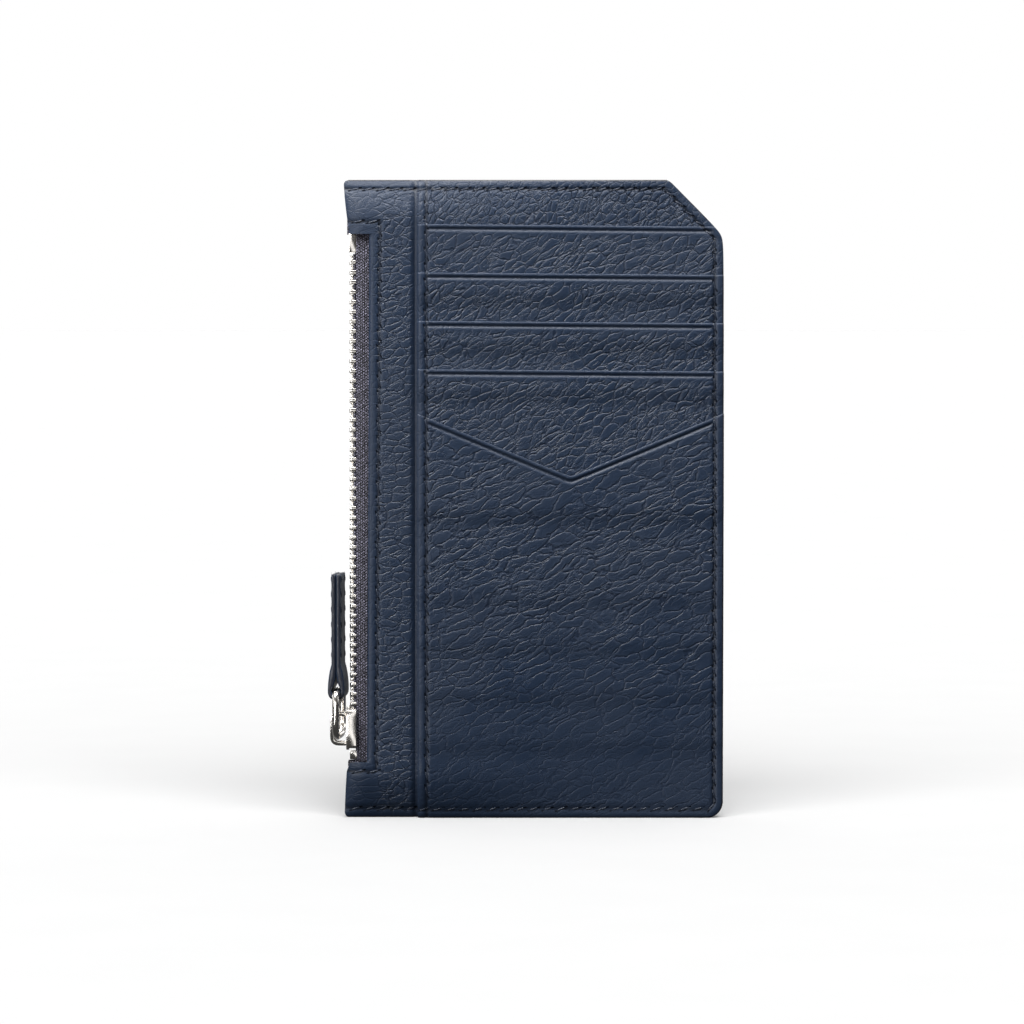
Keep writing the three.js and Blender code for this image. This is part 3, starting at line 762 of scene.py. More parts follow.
def panel(place, side, relief, material, pressed, dark):
    """A full-height panel with the zip window open to the left.

    pressed is how flat the card side's edge presses the grain beside it."""
    seams = [LEFT + 0.5, WINDOW_RIGHT, WINDOW_SEAM_X, CARD_LEFT - 0.5]
    coarse_from = CARD_LEFT + 1
    upto = graded(LEFT, WINDOW_RIGHT, 0.7, 0.3, [LEFT + 0.5, WINDOW_RIGHT])
    middle = graded(WINDOW_RIGHT, coarse_from, 0.6, 0.3, seams)
    beyond = graded(coarse_from, RIGHT, 0.9 if side > 0 else 3.0, 0.3, [RIGHT - EDGE_SEAM, RIGHT])
    columns = np.concatenate([upto[:-1], middle[:-1], beyond])
    below = bottom_rows(0.8, 0.3, [EDGE_SEAM, WINDOW_SEAM_BOTTOM, WINDOW_BOTTOM], WINDOW_BOTTOM)
    beside = graded(WINDOW_BOTTOM, WINDOW_TOP, 0.9, 0.3, [WINDOW_BOTTOM, WINDOW_TOP])
    above = graded(WINDOW_TOP, HEIGHT, 0.6, 0.25, [WINDOW_SEAM_TOP, HEIGHT - EDGE_SEAM, HEIGHT])
    heights = np.concatenate([below[:-1], beside[:-1], above])
    x, z = np.meshgrid(columns, heights)
    centre_x = (columns[:-1] + columns[1:]) / 2
    centre_z = (heights[:-1] + heights[1:]) / 2
    in_window = (centre_z > WINDOW_BOTTOM) & (centre_z < WINDOW_TOP)
    keep = ~np.outer(in_window, centre_x < WINDOW_RIGHT)
    lean = np.interp(x, [LEFT, WINDOW_RIGHT, WINDOW_SEAM_X + 1, CARD_LEFT - 2], [0, 1, 1, 0])
    x = squeezed(x, z, WINDOW_RIGHT - 0.6) + lean * (window_edge(z) - WINDOW_RIGHT)
    grain = grain_level(x, z) * (0.3 + 0.7 * step_up((x - WINDOW_RIGHT - 0.3) / 2))
    grain = grain * (1 - pressed * ridge(x - CARD_LEFT + 0.4, 0.9))
    obj = closed_sheet(f"{place}_panel_leather", x, z, panel_outer(x, z) + relief(x, z), LEATHER, side,
                       [material, EDGE_PAINT], panel_rim, keep, grain, dark(x, z))
    finish_piece(add_bevel(obj, 0.16), f"{place}_panel")


def card_layer(node, x, z, reach, thickness, material, grain, bevel, top, crease, seed):
    """A leather layer of the card side. top is the height of its upper edge."""
    obj = closed_sheet(f"{node}_leather", x, z, reach + card_relief(x, z, top, crease, seed), thickness,
                       -1, [material, EDGE_PAINT], on_outline, None, grain, card_painted_shade(x, z, top, crease))
    finish_piece(add_bevel(obj, bevel), node)


def card_columns(coarse=0.75, places=()):
    places = [CARD_LEFT, CARD_SEAM_X, *places, RIGHT - EDGE_SEAM, RIGHT]
    return graded(CARD_LEFT, RIGHT, coarse, 0.28, places)


def below_edge_rows(crease, depth):
    """Distances down from a turned edge: close together round the edge and its crease."""
    return graded(0, depth, 0.7, 0.16, [0, crease])


def card_base():
    fine_from = 90.0
    heights = graded(fine_from, HEIGHT, 0.6, 0.28, [HEIGHT - EDGE_SEAM, HEIGHT])
    heights = np.concatenate([bottom_rows(4, 0.8, [EDGE_SEAM], fine_from)[:-1], heights])
    x, z = np.meshgrid(card_columns(), heights)
    x = squeezed(x, z)
    wrinkles = ridge(z - 124.5, 3.0) * ridge(x - CARD_SEAM_X - 3.2, 2.4)
    wrinkles = 0.10 * wrinkles * np.sin((x + 0.25 * z) * 2 * np.pi / 1.35)
    card_layer("card_base", x, z, base_outer(x, z) + wrinkles, BASE_LEATHER, LEATHER_BASE,
               grain_level(x, z, HEIGHT - z + 3), 0.14, 2 * HEIGHT, 0, 11)


def slot_strip(k):
    down = below_edge_rows(CREASE_BELOW_EDGE, SLOT_TOP[k] - SLOT_BOTTOM[k])[::-1]
    x = np.repeat(card_columns()[None, :], len(down), 0)
    top = slot_edge(k, x)
    z = top - down[:, None]
    x = squeezed(x, z)
    reach = stack_outer(k + 1, x, np.maximum(z, SLOT_BOTTOM[k] + 0.01))
    card_layer(f"slot_strip_{k + 1}", x, z, reach, SLOT_LEATHER, LEATHER_SLOT,
               grain_level(x, z, top - z), 0.16, top, CREASE_BELOW_EDGE, 20 + k)


def v_pocket():
    fine_depth = 8.0
    down = below_edge_rows(V_CREASE_BELOW_EDGE, fine_depth)
    lower = bottom_rows(0.8, 0.3, [EDGE_SEAM], V_TOP - V_DEPTH - fine_depth)
    x = np.repeat(card_columns(0.7, [V_APEX_X])[None, :], len(down) + len(lower) - 1, 0)
    top = v_edge(x)
    share = (lower / lower[-1])[:-1, None]
    z = np.concatenate([share * (top[: len(lower) - 1] - fine_depth), top[: len(down)] - down[::-1, None]])
    x = squeezed(x, z)
    grain = grain_level(x, z, top - z) * (0.38 + 0.62 * step_up((z - 8) / 45))
    card_layer("v_pocket", x, z, pocket_outer(x, z), POCKET_LEATHER, LEATHER_V, grain, 0.18,
               top, V_CREASE_BELOW_EDGE, 31)


panel("front", -1, front_panel_relief, LEATHER_SIDE, 0.85, panel_painted_shade)
panel("back", 1, panel_relief, LEATHER_BACK, 0, back_painted_shade)
card_base()
for k in range(SLOTS):
    slot_strip(k)
v_pocket()


# ---- linings, and the paint that closes the seam ----

SHEET_STEP = 1.6
LINING_INSET = 0.5
BEAD_OUTER = 0.10
BEAD_INNER = 0.42


def lining(node, side, outer, left, bottom, top, fabric):
    """A thin sheet of lining, as a piece and its flat size in metres."""
    columns = even(left, RIGHT - LINING_INSET, SHEET_STEP)
    heights = even(bottom, top, SHEET_STEP)
    x, z = np.meshgrid(columns, heights)
    x = np.minimum(x, right_edge(z) - LINING_INSET)
    reach = outer(x, z) + 0.01 * waves(x, z, 41)
    obj = closed_sheet(f"{node}_fabric", x, z, reach, fabric, side, [TWILL])
    finish_piece(obj, node)
    return obj, ((columns[-1] - columns[0]) * MM, (heights[-1] - heights[0]) * MM)


def edge_bead(name, x, z, to_x, to_z):
    """Edge paint between the panels, just inside the outline."""
    half = SEAM_HALF_GAP + 0.01
    corners = []
    for inset, y in ((BEAD_OUTER, -half), (BEAD_OUTER, half), (BEAD_INNER, half), (BEAD_INNER, -half)):
        corners.append(np.stack([x + inset * to_x, np.full(len(x), y), z + inset * to_z], -1))
    vertices = np.stack(corners, 1).reshape(-1, 3)
    obj = add_mesh(name, vertices, tube_faces(0, len(x), len(corners)), [EDGE_PAINT])
    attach(obj, "holder")


heights = np.linspace(0.3, HEIGHT - 0.3, 260)
edge_bead("right_edge_paint", right_edge(heights), heights, -1, 0)
columns = np.linspace(float(right_edge(np.array([HEIGHT]))[0]) - 0.4, LEFT + 3, 60)
edge_bead("top_edge_paint", columns, np.full(60, HEIGHT), 0, -1)
edge_bead("bottom_edge_paint", columns[::-1], np.zeros(60), 0, 1)

for place, side in (("front", -1), ("back", 1)):
    sheet, flat = lining(f"{place}_lining", side, lining_outer, TAPE_RIGHT + 0.1, LINING_INSET,
                         HEIGHT - LINING_INSET, LINING)
for k in range(SLOTS):
    sheet, flat = lining(f"slot_lining_{k + 1}", -1, partial(tail_outer, k), CARD_LEFT + 0.4,
                         TAIL_BOTTOM[k], high(f"slot_lining_{k + 1}").z, TAIL_FABRIC)


# ---- stitches ----

STITCH_SHARE = 0.74
THREAD_RADIUS = 0.19
STITCH_LEAN = 0.30
STITCH_DIP = 0.36
STITCH_SIDES = 8
STITCH_RINGS = 9
HOLE_LENGTH = 0.46
HOLE_WIDTH = 0.16
HOLE_LIFT = 0.035


def along_path(points, pitch):
    """Evenly spaced middles and directions of stitches along a path of straight runs."""
    points = np.asarray(points, float)
    runs = np.diff(points, axis=0)
    lengths = np.hypot(runs[:, 0], runs[:, 1])
    reach = np.concatenate([[0], np.cumsum(lengths)])
    count = max(1, round(reach[-1] / pitch))
    middles = (np.arange(count) + 0.5) * reach[-1] / count
    run = np.clip(np.searchsorted(reach, middles) - 1, 0, len(runs) - 1)
    direction = runs[run] / lengths[run][:, None]
    return points[run] + direction * (middles - reach[run])[:, None], direction


def stitches(name, points, surface, place, body="holder", radius=THREAD_RADIUS, pitch=STITCH_PITCH):
    """A row of leaning thread stitches, with dark slits of painted shade at their ends where the awl holes
    are.

    surface(u, v) is the outer offset there, and place(u, v, h) the point h out from the origin."""
    middles, directions = along_path(points, pitch)
    sides, rings = STITCH_SIDES, STITCH_RINGS
    along = np.linspace(-1, 1, rings)
    around = np.arange(sides) * 2 * np.pi / sides
    vertices, faces, slots = [], [], []
    rng = np.random.default_rng(len(middles))
    for middle, direction in zip(middles, directions):
        across = np.array([-direction[1], direction[0]])
        axis = direction + across * (STITCH_LEAN + rng.normal(0, 0.05))
        axis = axis / np.hypot(*axis)
        normal = np.array([-axis[1], axis[0]])
        half = STITCH_SHARE * pitch / 2 * (1 + rng.normal(0, 0.04))
        fat = radius * (1.0 - 0.35 * np.abs(along) ** 3)
        rise = 0.05 - STITCH_DIP * np.abs(along) ** 3
        faces += tube_faces(len(vertices), rings, sides)
        slots += [0] * ((rings - 1) * sides + 2)
        u = middle[0] + axis[0] * along * half
        v = middle[1] + axis[1] * along * half
        base = surface(u, v)
        for i in range(rings):
            for angle in around:
                off = fat[i] * math.cos(angle)
                height = base[i] + rise[i] + fat[i] * math.sin(angle)
                vertices.append(place(u[i] + normal[0] * off, v[i] + normal[1] * off, height))
        # Each end gets a flat dark slit of painted shade for the awl hole.
        for end in (-1, 1):
            centre = middle + axis * end * (half - 0.02)
            faces.append(tuple(range(len(vertices), len(vertices) + sides)))
            slots.append(1)
            for angle in around:
                spot = centre + axis * HOLE_LENGTH * math.cos(angle) + normal * HOLE_WIDTH * math.sin(angle)
                height = float(surface(spot[:1], spot[1:])[0]) + HOLE_LIFT
                vertices.append(place(*spot, height))
    obj = add_mesh(name, vertices, faces, [THREAD, HOLE_SHADE], slots)
    face_outwards(obj)
    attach(obj, body)


def front_surface(x, z):
    """Offset of whatever is outermost on the front."""
    on_card = x > CARD_LEFT
    height = np.where(on_card, base_outer(x, z) + card_relief(x, z, 2 * HEIGHT, 0, 11),
                      panel_outer(x, z) + front_panel_relief(x, z))
    for k in range(SLOTS):
        edge = slot_edge(k, x)
        strip = stack_outer(k + 1, x, z) + card_relief(x, z, edge, CREASE_BELOW_EDGE, 20 + k)
        height = np.where(on_card & (z < edge) & (z > SLOT_BOTTOM[k]), strip, height)
    pocket = pocket_outer(x, z) + card_relief(x, z, v_edge(x), V_CREASE_BELOW_EDGE, 31)
    return np.where(on_card & (z < v_edge(x)), pocket, height)


def back_surface(x, z):
    return panel_outer(x, z) + panel_relief(x, z)


def facing(side, u, v, h):
    return (u, side * h, v)


def edge_seam_path():
    """Round the outer edge from the top left to the bottom left."""
    top, right, left = HEIGHT - EDGE_SEAM, RIGHT - EDGE_SEAM, LEFT + 0.9
    cut = CORNER_CUT + EDGE_SEAM * (math.sqrt(2) - 1)
    radius = CORNER_ROUND - EDGE_SEAM
    corner = [(RIGHT - CORNER_ROUND + radius * math.cos(a), CORNER_ROUND + radius * math.sin(a))
              for a in np.radians(np.linspace(0, -90, 5))]
    return [(left, top), (RIGHT - cut, top), (right, HEIGHT - cut), *corner, (left, EDGE_SEAM)]


def window_seam_path():
    """Round the zip window, from its upper left to its lower left."""
    outside = LEFT + EDGE_TAPER + 0.2
    ends = (WINDOW_SEAM_TOP, WINDOW_SEAM_BOTTOM)
    return [(outside, ends[0]), *((window_seam(z), z) for z in ends), (outside, ends[1])]


sewn_faces = (("front", front_surface, partial(facing, -1)), ("back", back_surface, partial(facing, 1)))
for place, surface, place_on in sewn_faces:
    stitches(f"seam_edge_{place}", edge_seam_path(), surface, place_on, pitch=EDGE_PITCH)
for place, surface, place_on in sewn_faces:
    stitches(f"seam_window_{place}", window_seam_path(), surface, place_on)
card_seam = [(CARD_SEAM_X, HEIGHT - EDGE_SEAM - 2.2), (CARD_SEAM_X, EDGE_SEAM + 2.2)]
stitches("seam_card_side", card_seam, front_surface, partial(facing, -1))


# ---- zip ----

TOOTH_PITCH = 2.0
TEETH_COUNT = 47
FIRST_TOOTH = 0.6
TOOTH_MIDDLE = (TEETH_LEFT + TEETH_RIGHT) / 2
TOOTH_HEAD = 0.28
CORD_X = TOOTH_MIDDLE + 0.35
CORD_OUT = 1.62
CORD_RADIUS = 0.3
CORD_TWIST = 0.9
TAPE_HALF = 0.17


def tooth(side):
    """One tooth round the origin: a clamp that grips the cord, a neck and a domed head."""
    outline = [
        (0.75, 1.45), (0.62, 2.02), (-0.45, 2.08), (-0.75, 1.75), (-0.75, 0.85),
        (-0.58, 0.40), (-0.58, -TOOTH_HEAD), (0.58, -TOOTH_HEAD), (0.58, 0.40), (0.75, 0.85),
    ]
    half_heights = [0.44, 0.40, 0.42, 0.46, 0.46, 0.33, 0.36, 0.36, 0.33, 0.46]
    mesh = bmesh.new()
    rings = []
    for up in (1, -1):
        ring = [mesh.verts.new((x, side * out, up * h)) for (x, out), h in zip(outline, half_heights)]
        rings.append(ring)
    for ring in rings:
        for corners in ((0, 1, 2, 3, 4, 9), (9, 4, 5, 8), (8, 5, 6, 7)):
            mesh.faces.new([ring[n] for n in corners])
    upper, lower = rings
    for i in range(len(outline)):
        j = (i + 1) % len(outline)
        mesh.faces.new([upper[i], upper[j], lower[j], lower[i]])
    bmesh.ops.recalc_face_normals(mesh, faces=mesh.faces)
    sharp = [e for e in mesh.edges if e.calc_face_angle(0) > math.radians(25)]
    bmesh.ops.bevel(mesh, geom=sharp, offset=0.09, segments=2, affect="EDGES", profile=0.6)
    bmesh.ops.recalc_face_normals(mesh, faces=mesh.faces)
    mesh.verts.ensure_lookup_table()
    vertices = np.array([v.co for v in mesh.verts])
    faces = [[v.index for v in f.verts] for f in mesh.faces]
    mesh.free()
    return vertices, faces


def teeth(name, side):
    template, template_faces = tooth(side)
    rise = TOOTH_PITCH / 2 if side > 0 else 0
    rng = np.random.default_rng(7 + side)
    vertices, faces = [], []
    for i in range(TEETH_COUNT):
        z = TEETH_BOTTOM + rise + FIRST_TOOTH + TOOTH_PITCH * i
        tilt = rng.normal(0, 0.035)
        turned = template.copy()
        turned[:, 2] = template[:, 2] + tilt * template[:, 0]
        faces += [[i * len(template) + n for n in f] for f in template_faces]
        vertices.append(turned + [TOOTH_MIDDLE + rng.normal(0, 0.02), 0, z + rng.normal(0, 0.02)])
    return add_mesh(name, np.concatenate(vertices), faces, [NICKEL_TEETH])


def zip_tape(name, side):
    """The woven band, from the cord at share 0 to its hidden edge at share 1."""
    share = np.concatenate([np.linspace(0, 0.3, 13), np.linspace(0.33, 1, 12)])
    stations = [0.0, 0.05, 0.10, 0.17, 0.30, 0.55, 1.0]
    xs = [CORD_X + 0.1, CORD_X + 0.35, TEETH_RIGHT + 0.12, TEETH_RIGHT + 0.5, TEETH_RIGHT + 1.5,
          WINDOW_RIGHT + 0.6, TAPE_RIGHT]
    outs = [CORD_OUT, CORD_OUT + 0.12, 1.98, 2.22, 2.33, 2.28, 2.28]
    line = np.stack([np.interp(share, stations, xs), np.interp(share, stations, outs)])
    for _ in range(2):
        line[:, 1:-1] = (line[:, :-2] + 2 * line[:, 1:-1] + line[:, 2:]) / 4
    heights = even(WINDOW_BOTTOM - 0.2, WINDOW_TOP + 0.2, 1.0)
    x, z = np.meshgrid(line[0], heights)
    out = line[1] + 0.03 * (1 - share) * np.sin(z * 2 * np.pi / TOOTH_PITCH)
    outer = np.stack([x, side * (out + TAPE_HALF), z], -1).reshape(-1, 3)
    inner = np.stack([x + 0.05, side * (out - TAPE_HALF), z], -1).reshape(-1, 3)
    quads = grid_quads(x).reshape(-1, 4)
    faces = np.concatenate([quads, quads[:, ::-1] + x.size, rim_of(quads, x.size)[2]])
    return add_mesh(name, np.concatenate([outer, inner]), faces[:, ::-side], [TAPE])


def cord(name, side):
    """The twisted cord that the teeth are clamped to."""
    turns, steps = 8, 380
    heights = np.linspace(TEETH_BOTTOM - 0.4, CORD_TOP, steps)
    around, z = np.meshgrid(np.arange(turns) * 2 * np.pi / turns, heights)
    radius = CORD_RADIUS * (1 + 0.12 * np.sin(around * 2 + z * 2 * np.pi / CORD_TWIST))
    x = CORD_X + radius * np.cos(around)
    y = side * (CORD_OUT + radius * np.sin(around))
    faces = [face[::-side] for face in tube_faces(0, steps, turns)]
    return add_mesh(name, np.stack([x, y, z], -1).reshape(-1, 3), faces, [TAPE])


def tape_end(name, side, bottom, top):
    """Where a tape runs on between the panels, above or below the window."""
    x, z = np.meshgrid(even(LEFT + 0.7, TAPE_RIGHT, 0.6), even(bottom, top, 0.6))
    obj = closed_sheet(name, x, z, panel_outer(x, z) - LEATHER - 0.08, 2 * TAPE_HALF, side, [TAPE])
    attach(obj, "holder")


for place, side in (("front", -1), ("back", 1)):
    chain = teeth(f"zip_teeth_{place}_row", side)
    edge_cord = cord(f"zip_cord_{place}", side)
    for piece, slot in ((chain, "nickel"), (edge_cord, "zip_tape")):
        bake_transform(piece)
    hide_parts(f"zip_teeth_{place}")
    tape = zip_tape(f"zip_tape_{place}_woven", side)
    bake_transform(tape)
    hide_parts(f"zip_tape_{place}")
for place, side in (("front", -1), ("back", 1)):
    tape_end(f"zip_tape_{place}_upper_end", side, WINDOW_TOP - 0.1, HEIGHT - 2.5)
    tape_end(f"zip_tape_{place}_lower_end", side, 2.5, WINDOW_BOTTOM + 0.1)


# ---- metal pieces that follow their CAD solids ----

def rounded_copy(node, width, segments=3):
    """The CAD solid with its edges rounded, as a piece that stands for it."""
    mesh = frame["nodes"][node].data.copy()
    mesh.name = f"{node}_metal"
    work = bmesh.new()
    work.from_mesh(mesh)
    bmesh.ops.remove_doubles(work, verts=work.verts, dist=1e-6)
    bmesh.ops.dissolve_limit(work, angle_limit=math.radians(2), verts=work.verts, edges=work.edges)
    bmesh.ops.recalc_face_normals(work, faces=work.faces)
    work.to_mesh(mesh)
    work.free()
    mesh.materials.clear()
    mesh.materials.append(NICKEL)
    mesh.shade_smooth()
    obj = bpy.data.objects.new(f"{node}_metal", mesh)
    bpy.context.scene.collection.objects.link(obj)
    finish_piece(add_bevel(obj, width, segments, 25), node)


rounded_copy("slider_body", 0.12)
rounded_copy("slider_bridge", 0.28, 4)
for node in ("zip_bottom_stop", "zip_top_stop_front", "zip_top_stop_back"):
    rounded_copy(node, 0.16)


# ---- ring and puller ----

swing = next(j for j in frame["joints"] if j["name"] == "ring_swing")
RING_X = swing["pos_m"][0] / MM
RING_TURN = math.atan2(swing["axis"][0], -swing["axis"][1])
RING_BOTTOM = low("pull_ring").z
RING_TOP = high("pull_ring").z
RING_HALF_WIDTH = (high("pull_ring").y - low("pull_ring").y) / 2
RING_WIRE = 0.72
RING_SQUARENESS = 5


def turned_about_ring(points):
    """From the ring's own axes to the frame."""
    x, y, z = np.asarray(points, float).T
    c, s = math.cos(RING_TURN), math.sin(RING_TURN)
    return np.stack([RING_X + c * x - s * y, s * x + c * y, z], -1)


def signed_power(value, exponent):
    return np.sign(value) * np.abs(value) ** exponent


def pull_ring():
    """Round wire along a rounded oblong."""
    around, along = 24, 160
    half_tall = (RING_TOP - RING_BOTTOM) / 2 - RING_WIRE
    half_wide = RING_HALF_WIDTH - RING_WIRE
    turn, angle = np.meshgrid(np.arange(around) * 2 * np.pi / around, np.arange(along) * 2 * np.pi / along)
    y = half_wide * signed_power(np.cos(angle), 2 / RING_SQUARENESS)
    z = half_tall * signed_power(np.sin(angle), 2 / RING_SQUARENESS)
    out_y = signed_power(y / half_wide, RING_SQUARENESS - 1) / half_wide
    out_z = signed_power(z / half_tall, RING_SQUARENESS - 1) / half_tall
    reach = RING_WIRE * np.cos(turn) / np.hypot(out_y, out_z)
    middle = (RING_BOTTOM + RING_TOP) / 2
    points = np.stack([RING_WIRE * np.sin(turn), y + reach * out_y, middle + z + reach * out_z], -1)
    faces = tube_faces(0, along, around, closed=True)
    return add_mesh("pull_ring_wire", turned_about_ring(points.reshape(-1, 3)), faces, [NICKEL])


PULLER_HALF_WIDTH = 4.0
PULLER_HALF = 0.95
PULLER_SHIFT = -0.15
PULLER_EYE_HALF = 1.7
PULLER_RIPPLE = 0.02
PULLER_SEAM_INSET = 0.95
EDGE_ROUND = 0.35
EDGE_DOME = 0.1
PULLER_BOTTOM = low("puller_strap").z
PULLER_TOP = high("puller_strap").z
PULLER_EYE_Z = PULLER_BOTTOM + 1.8
PULLER_NECK_Z = PULLER_BOTTOM + 7.3
EYE_HOLE = 0.98
EYE_APEX_Z = PULLER_BOTTOM + 4.0
FOLD_SPLIT = 0.035


def curve(points, count):
    """Points along a quadratic curve."""
    t = np.linspace(0, 1, count)[:, None]
    a, b, c = (np.array(p, float) for p in points)
    return (1 - t) ** 2 * a + 2 * t * (1 - t) * b + t * t * c


def folded(*runs):
    """Runs of points in a row, and on round their mirror image."""
    line = np.concatenate([runs[0]] + [run[1:] for run in runs[1:]])
    return np.concatenate([line, (line * [-1, 1])[-2::-1]])


def puller_section():
    """The outer and the inner line of a strip folded round the ring's upper bar, in (x, z)."""
    half, eye, hole, split = PULLER_HALF, PULLER_EYE_HALF, EYE_HOLE, FOLD_SPLIT
    top, neck, eye_z, bottom = PULLER_TOP, PULLER_NECK_Z, PULLER_EYE_Z, PULLER_BOTTOM
    straight = np.linspace((half, top), (half, neck), 28)
    ripple = PULLER_RIPPLE * np.cos((straight[:, 1] - bottom) * 2 * np.pi / STITCH_PITCH)
    ripple = ripple * step_up((straight[:, 1] - neck) / 2) * step_up((top - straight[:, 1]) / 1.5)
    straight[:, 0] += ripple
    outer = folded(
        straight,
        curve([(half, neck), (eye, eye_z + 3), (eye, eye_z)], 13),
        curve([(eye, eye_z), (eye, bottom), (0, bottom)], 9),
    )
    inner = folded(
        np.linspace((split, top), (split, EYE_APEX_Z + 1.5), 28),
        curve([(split, EYE_APEX_Z + 1.5), (0.12, EYE_APEX_Z - 0.6), (hole, eye_z + 0.3)], 13),
        curve([(hole, eye_z + 0.3), (hole, eye_z - hole), (0, eye_z - hole)], 9),
    )
    return outer, inner


def puller_strap():
    """The puller's section, run across its width, with domed paint on its cut edges."""
    outer, inner = puller_section()
    middle = (outer + inner) / 2
    tips = middle[[-1, 0]] + [0, EDGE_DOME]
    count = len(middle)
    half = PULLER_HALF_WIDTH
    vertices = []
    widths = graded(-half, half, 0.7, 0.12, [-half, half])
    for y in widths:
        near = np.clip((abs(y) - half + EDGE_ROUND) / EDGE_ROUND, 0, 1)
        pull = 0.35 * (1 - math.sqrt(1 - near * near))
        outside, inside = outer + (middle - outer) * pull, inner + (middle - inner) * pull
        loop = np.concatenate([outside, tips[:1], inside[::-1], tips[1:]])
        vertices += [(x + PULLER_SHIFT, y, z) for x, z in loop]
    crowns = len(vertices)
    for y in (-half - EDGE_DOME, half + EDGE_DOME):
        vertices += [(x + PULLER_SHIFT, y, z) for x, z in middle]
    size = len(loop)
    faces = tube_faces(0, len(widths), size)[:-2]
    by_tip = (count - 1, count, size - 2, size - 1)
    slots = [int(j in by_tip) for j in range(size)] * (len(widths) - 1)
    on_crown = [*range(count), count - 1, *range(count - 1, -1, -1), 0]
    for start, crown in ((0, crowns), (crowns - size, crowns + count)):
        for j in range(size):
            k = (j + 1) % size
            corners = (start + j, start + k, crown + on_crown[k], crown + on_crown[j])
            faces.append(tuple(dict.fromkeys(corners)))
            slots.append(1)
    materials = [LEATHER_PULLER, PULLER_PAINT]
    obj = add_mesh("puller_strap_leather", turned_about_ring(vertices), faces, materials, slots)
    face_outwards(obj)
    set_values(obj, "grain", np.full(len(obj.data.vertices), 0.6))
    return obj


finish_piece(pull_ring(), "pull_ring")
finish_piece(puller_strap(), "puller_strap")


def puller_face(u, v):
    return np.full_like(np.asarray(u, float), PULLER_HALF - 0.03)


def on_puller(face, u, v, h):
    return tuple(turned_about_ring([(face * h + PULLER_SHIFT, u, v)])[0])


side, top = PULLER_HALF_WIDTH - PULLER_SEAM_INSET, PULLER_TOP - PULLER_SEAM_INSET
bottom = PULLER_NECK_Z + 0.3
puller_seam = [(-side, bottom), (-side, top), (side, top), (side, bottom)]
stitches("seam_puller_outer", puller_seam, puller_face, partial(on_puller, -1), "puller", 0.16)
stitches("seam_puller_inner", puller_seam, puller_face, partial(on_puller, 1), "puller", 0.16)


# ---- studio ----

scene = bpy.context.scene
scene.view_settings.view_transform = "Standard"

FLOOR_HALF = 40.0 / MM
SKY_DIM = 0.06
SKY_ABOVE = 0.45
SKY_BEHIND = 0.25
CAMERA_DISTANCE = 0.9
CAMERA_ELEVATION = math.radians(2.5)
CAMERA_LENS = 155
AIM = Vector((-0.003, 0, 0.0624))
SLIDER_PLACE = (-0.037, 0, 0.03)


def white_floor():
    s = Shader("studio_floor", Roughness=0.9, Specular_IOR_Level=0.0)
    s.set(Base_Color=s.mix(s.noise(s.place, 40.0), rgb(0.79, 0.79, 0.79), rgb(0.81, 0.81, 0.81)))
    corners = [(FLOOR_HALF * x, FLOOR_HALF * y, 0) for x, y in ((-1, -1), (1, -1), (1, 1), (-1, 1))]
    floor = add_mesh("studio_floor", corners, [(0, 1, 2, 3)], [s.material])
    floor.visible_diffuse = False
    floor.visible_glossy = False


def white_world():
    """White all round for the camera; a softer sky, dim in front, lights the holder."""
    scene.world = bpy.data.worlds.new("studio_world")
    scene.world.use_nodes = True
    w = Nodes(scene.world.node_tree)
    direction = w.add("ShaderNodeTexCoord").outputs["Generated"]
    parts = w.add("ShaderNodeSeparateXYZ", {"Vector": direction}).outputs
    strength = w.math("ADD", w.smooth(parts["Z"], 0.1, 0.95, 0.0, SKY_ABOVE), SKY_DIM)
    strength = w.math("ADD", w.smooth(parts["Y"], 0.0, 0.8, 0.0, SKY_BEHIND), strength)
    lit = w.add("ShaderNodeBackground", {"Strength": strength})
    seen = w.add("ShaderNodeBackground", {"Color": rgb(1, 1, 1), "Strength": 1.0})
    by_camera = w.add("ShaderNodeLightPath").outputs["Is Camera Ray"]
    mix = w.add("ShaderNodeMixShader", {"Fac": by_camera, 1: lit.outputs[0], 2: seen.outputs[0]})
    w.add("ShaderNodeOutputWorld", {"Surface": mix.outputs[0]})


def floor_linked(name, state):
    """A collection that makes a light reach only the floor (INCLUDE) or all but the floor (EXCLUDE)."""
    group = bpy.data.collections.new(name)
    group.objects.link(bpy.data.objects["studio_floor"])
    group.collection_objects[0].light_linking.link_state = state
    return group


def add_light(light, place, towards, receivers):
    """Adds a light that shines from place, along -towards, on a collection of receivers."""
    obj = bpy.data.objects.new(light.name, light)
    obj.location = place
    obj.rotation_euler = towards.to_track_quat("Z", "Y").to_euler()
    obj.light_linking.receiver_collection = receivers
    scene.collection.objects.link(obj)
    return obj


def soft_sun(name, azimuth, elevation, spread, power):
    """A soft far light on the floor alone, which whitens it and makes the shadow. Degrees."""
    light = bpy.data.lights.new(name, "SUN")
    light.angle = math.radians(spread)
    light.energy = power
    a, e = math.radians(azimuth), math.radians(elevation)
    towards = Vector((math.sin(a) * math.cos(e), -math.cos(a) * math.cos(e), math.sin(e)))
    add_light(light, (0, 0, 0), towards, floor_linked("floor_only_" + name, "INCLUDE"))


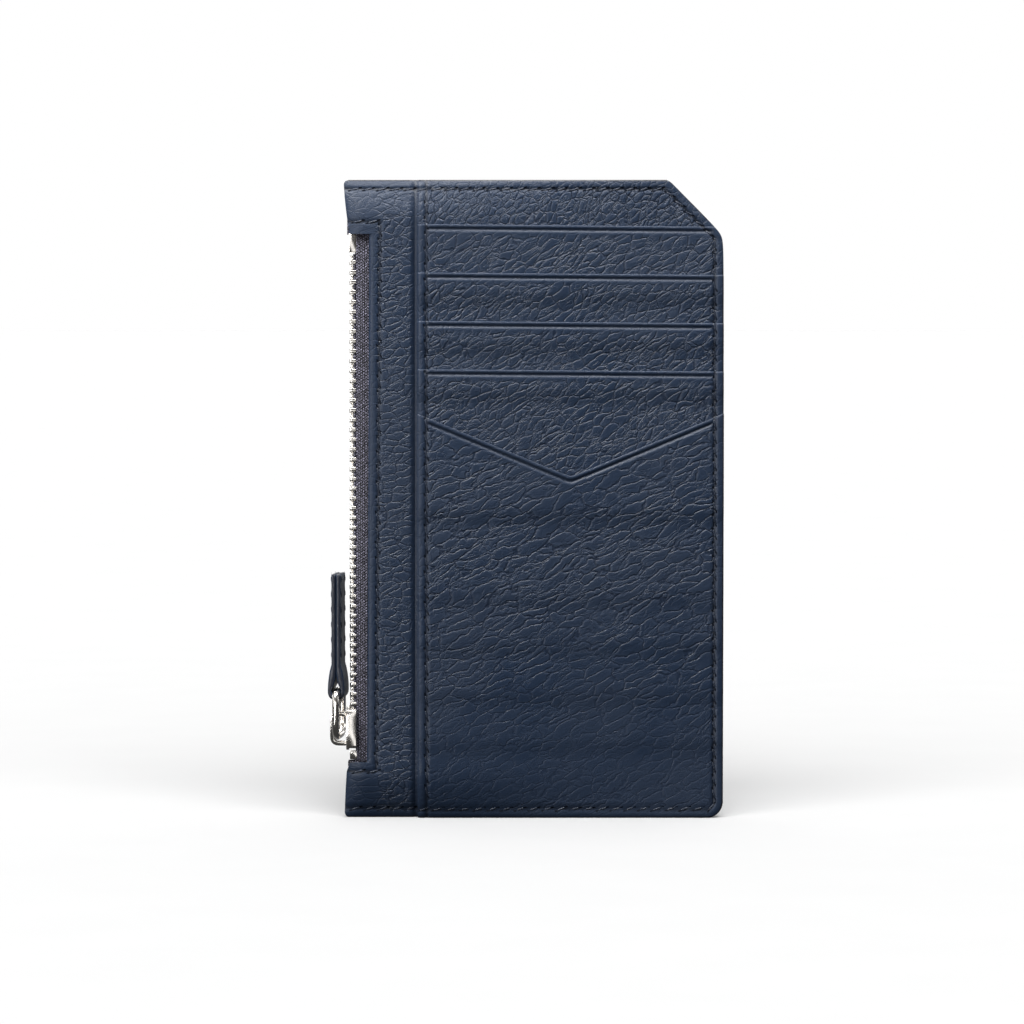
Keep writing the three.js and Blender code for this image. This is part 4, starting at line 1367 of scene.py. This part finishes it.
def softbox(name, where, aim, width, height, power):
    light = bpy.data.lights.new(name, "AREA")
    light.shape = "RECTANGLE"
    light.size = width
    light.size_y = height
    light.energy = power
    receivers = floor_linked("not_floor_" + name, "EXCLUDE")
    obj = add_light(light, where, Vector(where) - Vector(aim), receivers)
    obj.visible_camera = False
    return obj


def metal_card(name, where, width, height, brightness):
    """A white reflector card that only the metal fittings mirror."""
    obj = softbox(name, where, SLIDER_PLACE, width, height, brightness * math.pi * width * height)
    metals = bpy.data.collections.new("metal_" + name)
    for piece in bpy.data.objects:
        if piece.type == "MESH" and piece.name.endswith(("_metal", "_wire", "_row")):
            metals.objects.link(piece)
    obj.light_linking.receiver_collection = metals


def make_camera():
    data = bpy.data.cameras.new("camera")
    data.sensor_width = 36
    data.lens = CAMERA_LENS
    camera = bpy.data.objects.new("camera", data)
    back = Vector((0, -math.cos(CAMERA_ELEVATION), math.sin(CAMERA_ELEVATION)))
    camera.location = AIM + back * CAMERA_DISTANCE
    camera.rotation_euler = (-back).to_track_quat("-Z", "Y").to_euler()
    scene.collection.objects.link(camera)
    scene.camera = camera


white_floor()
white_world()
soft_sun("sun_left", -20, 37, 51, 2.12)
soft_sun("sun_right", 20, 37, 51, 2.12)
soft_sun("sun_above", 180, 84, 31, 0.30)
softbox("key_upper_left", (-0.24, -0.23, 0.48), (-0.01, 0, 0.08), 0.30, 0.20, 3.7)
softbox("grazing_top", (0.10, -0.10, 0.48), (0.01, 0, 0.08), 0.35, 0.16, 2.2)
softbox("fill_front_left", (-0.50, -0.75, 0.05), (0, 0, 0.03), 0.5, 0.2, 2.9)
softbox("key_behind", (-0.16, 0.28, 0.46), (0, 0, 0.07), 0.30, 0.20, 3.0)
softbox("fill_behind", (-0.4, 0.75, 0.10), (0, 0, 0.05), 0.5, 0.2, 1.7)
softbox("fill_right", (0.75, 0.10, 0.20), (0.04, 0, 0.06), 0.4, 0.3, 1.6)
metal_card("card_front", (-0.05, -0.6, 0.07), 0.5, 0.10, 1.3)
metal_card("card_left", (-0.6, -0.12, 0.16), 0.4, 0.3, 1.2)
metal_card("card_back", (-0.05, 0.6, 0.12), 0.5, 0.16, 1.2)
make_camera()
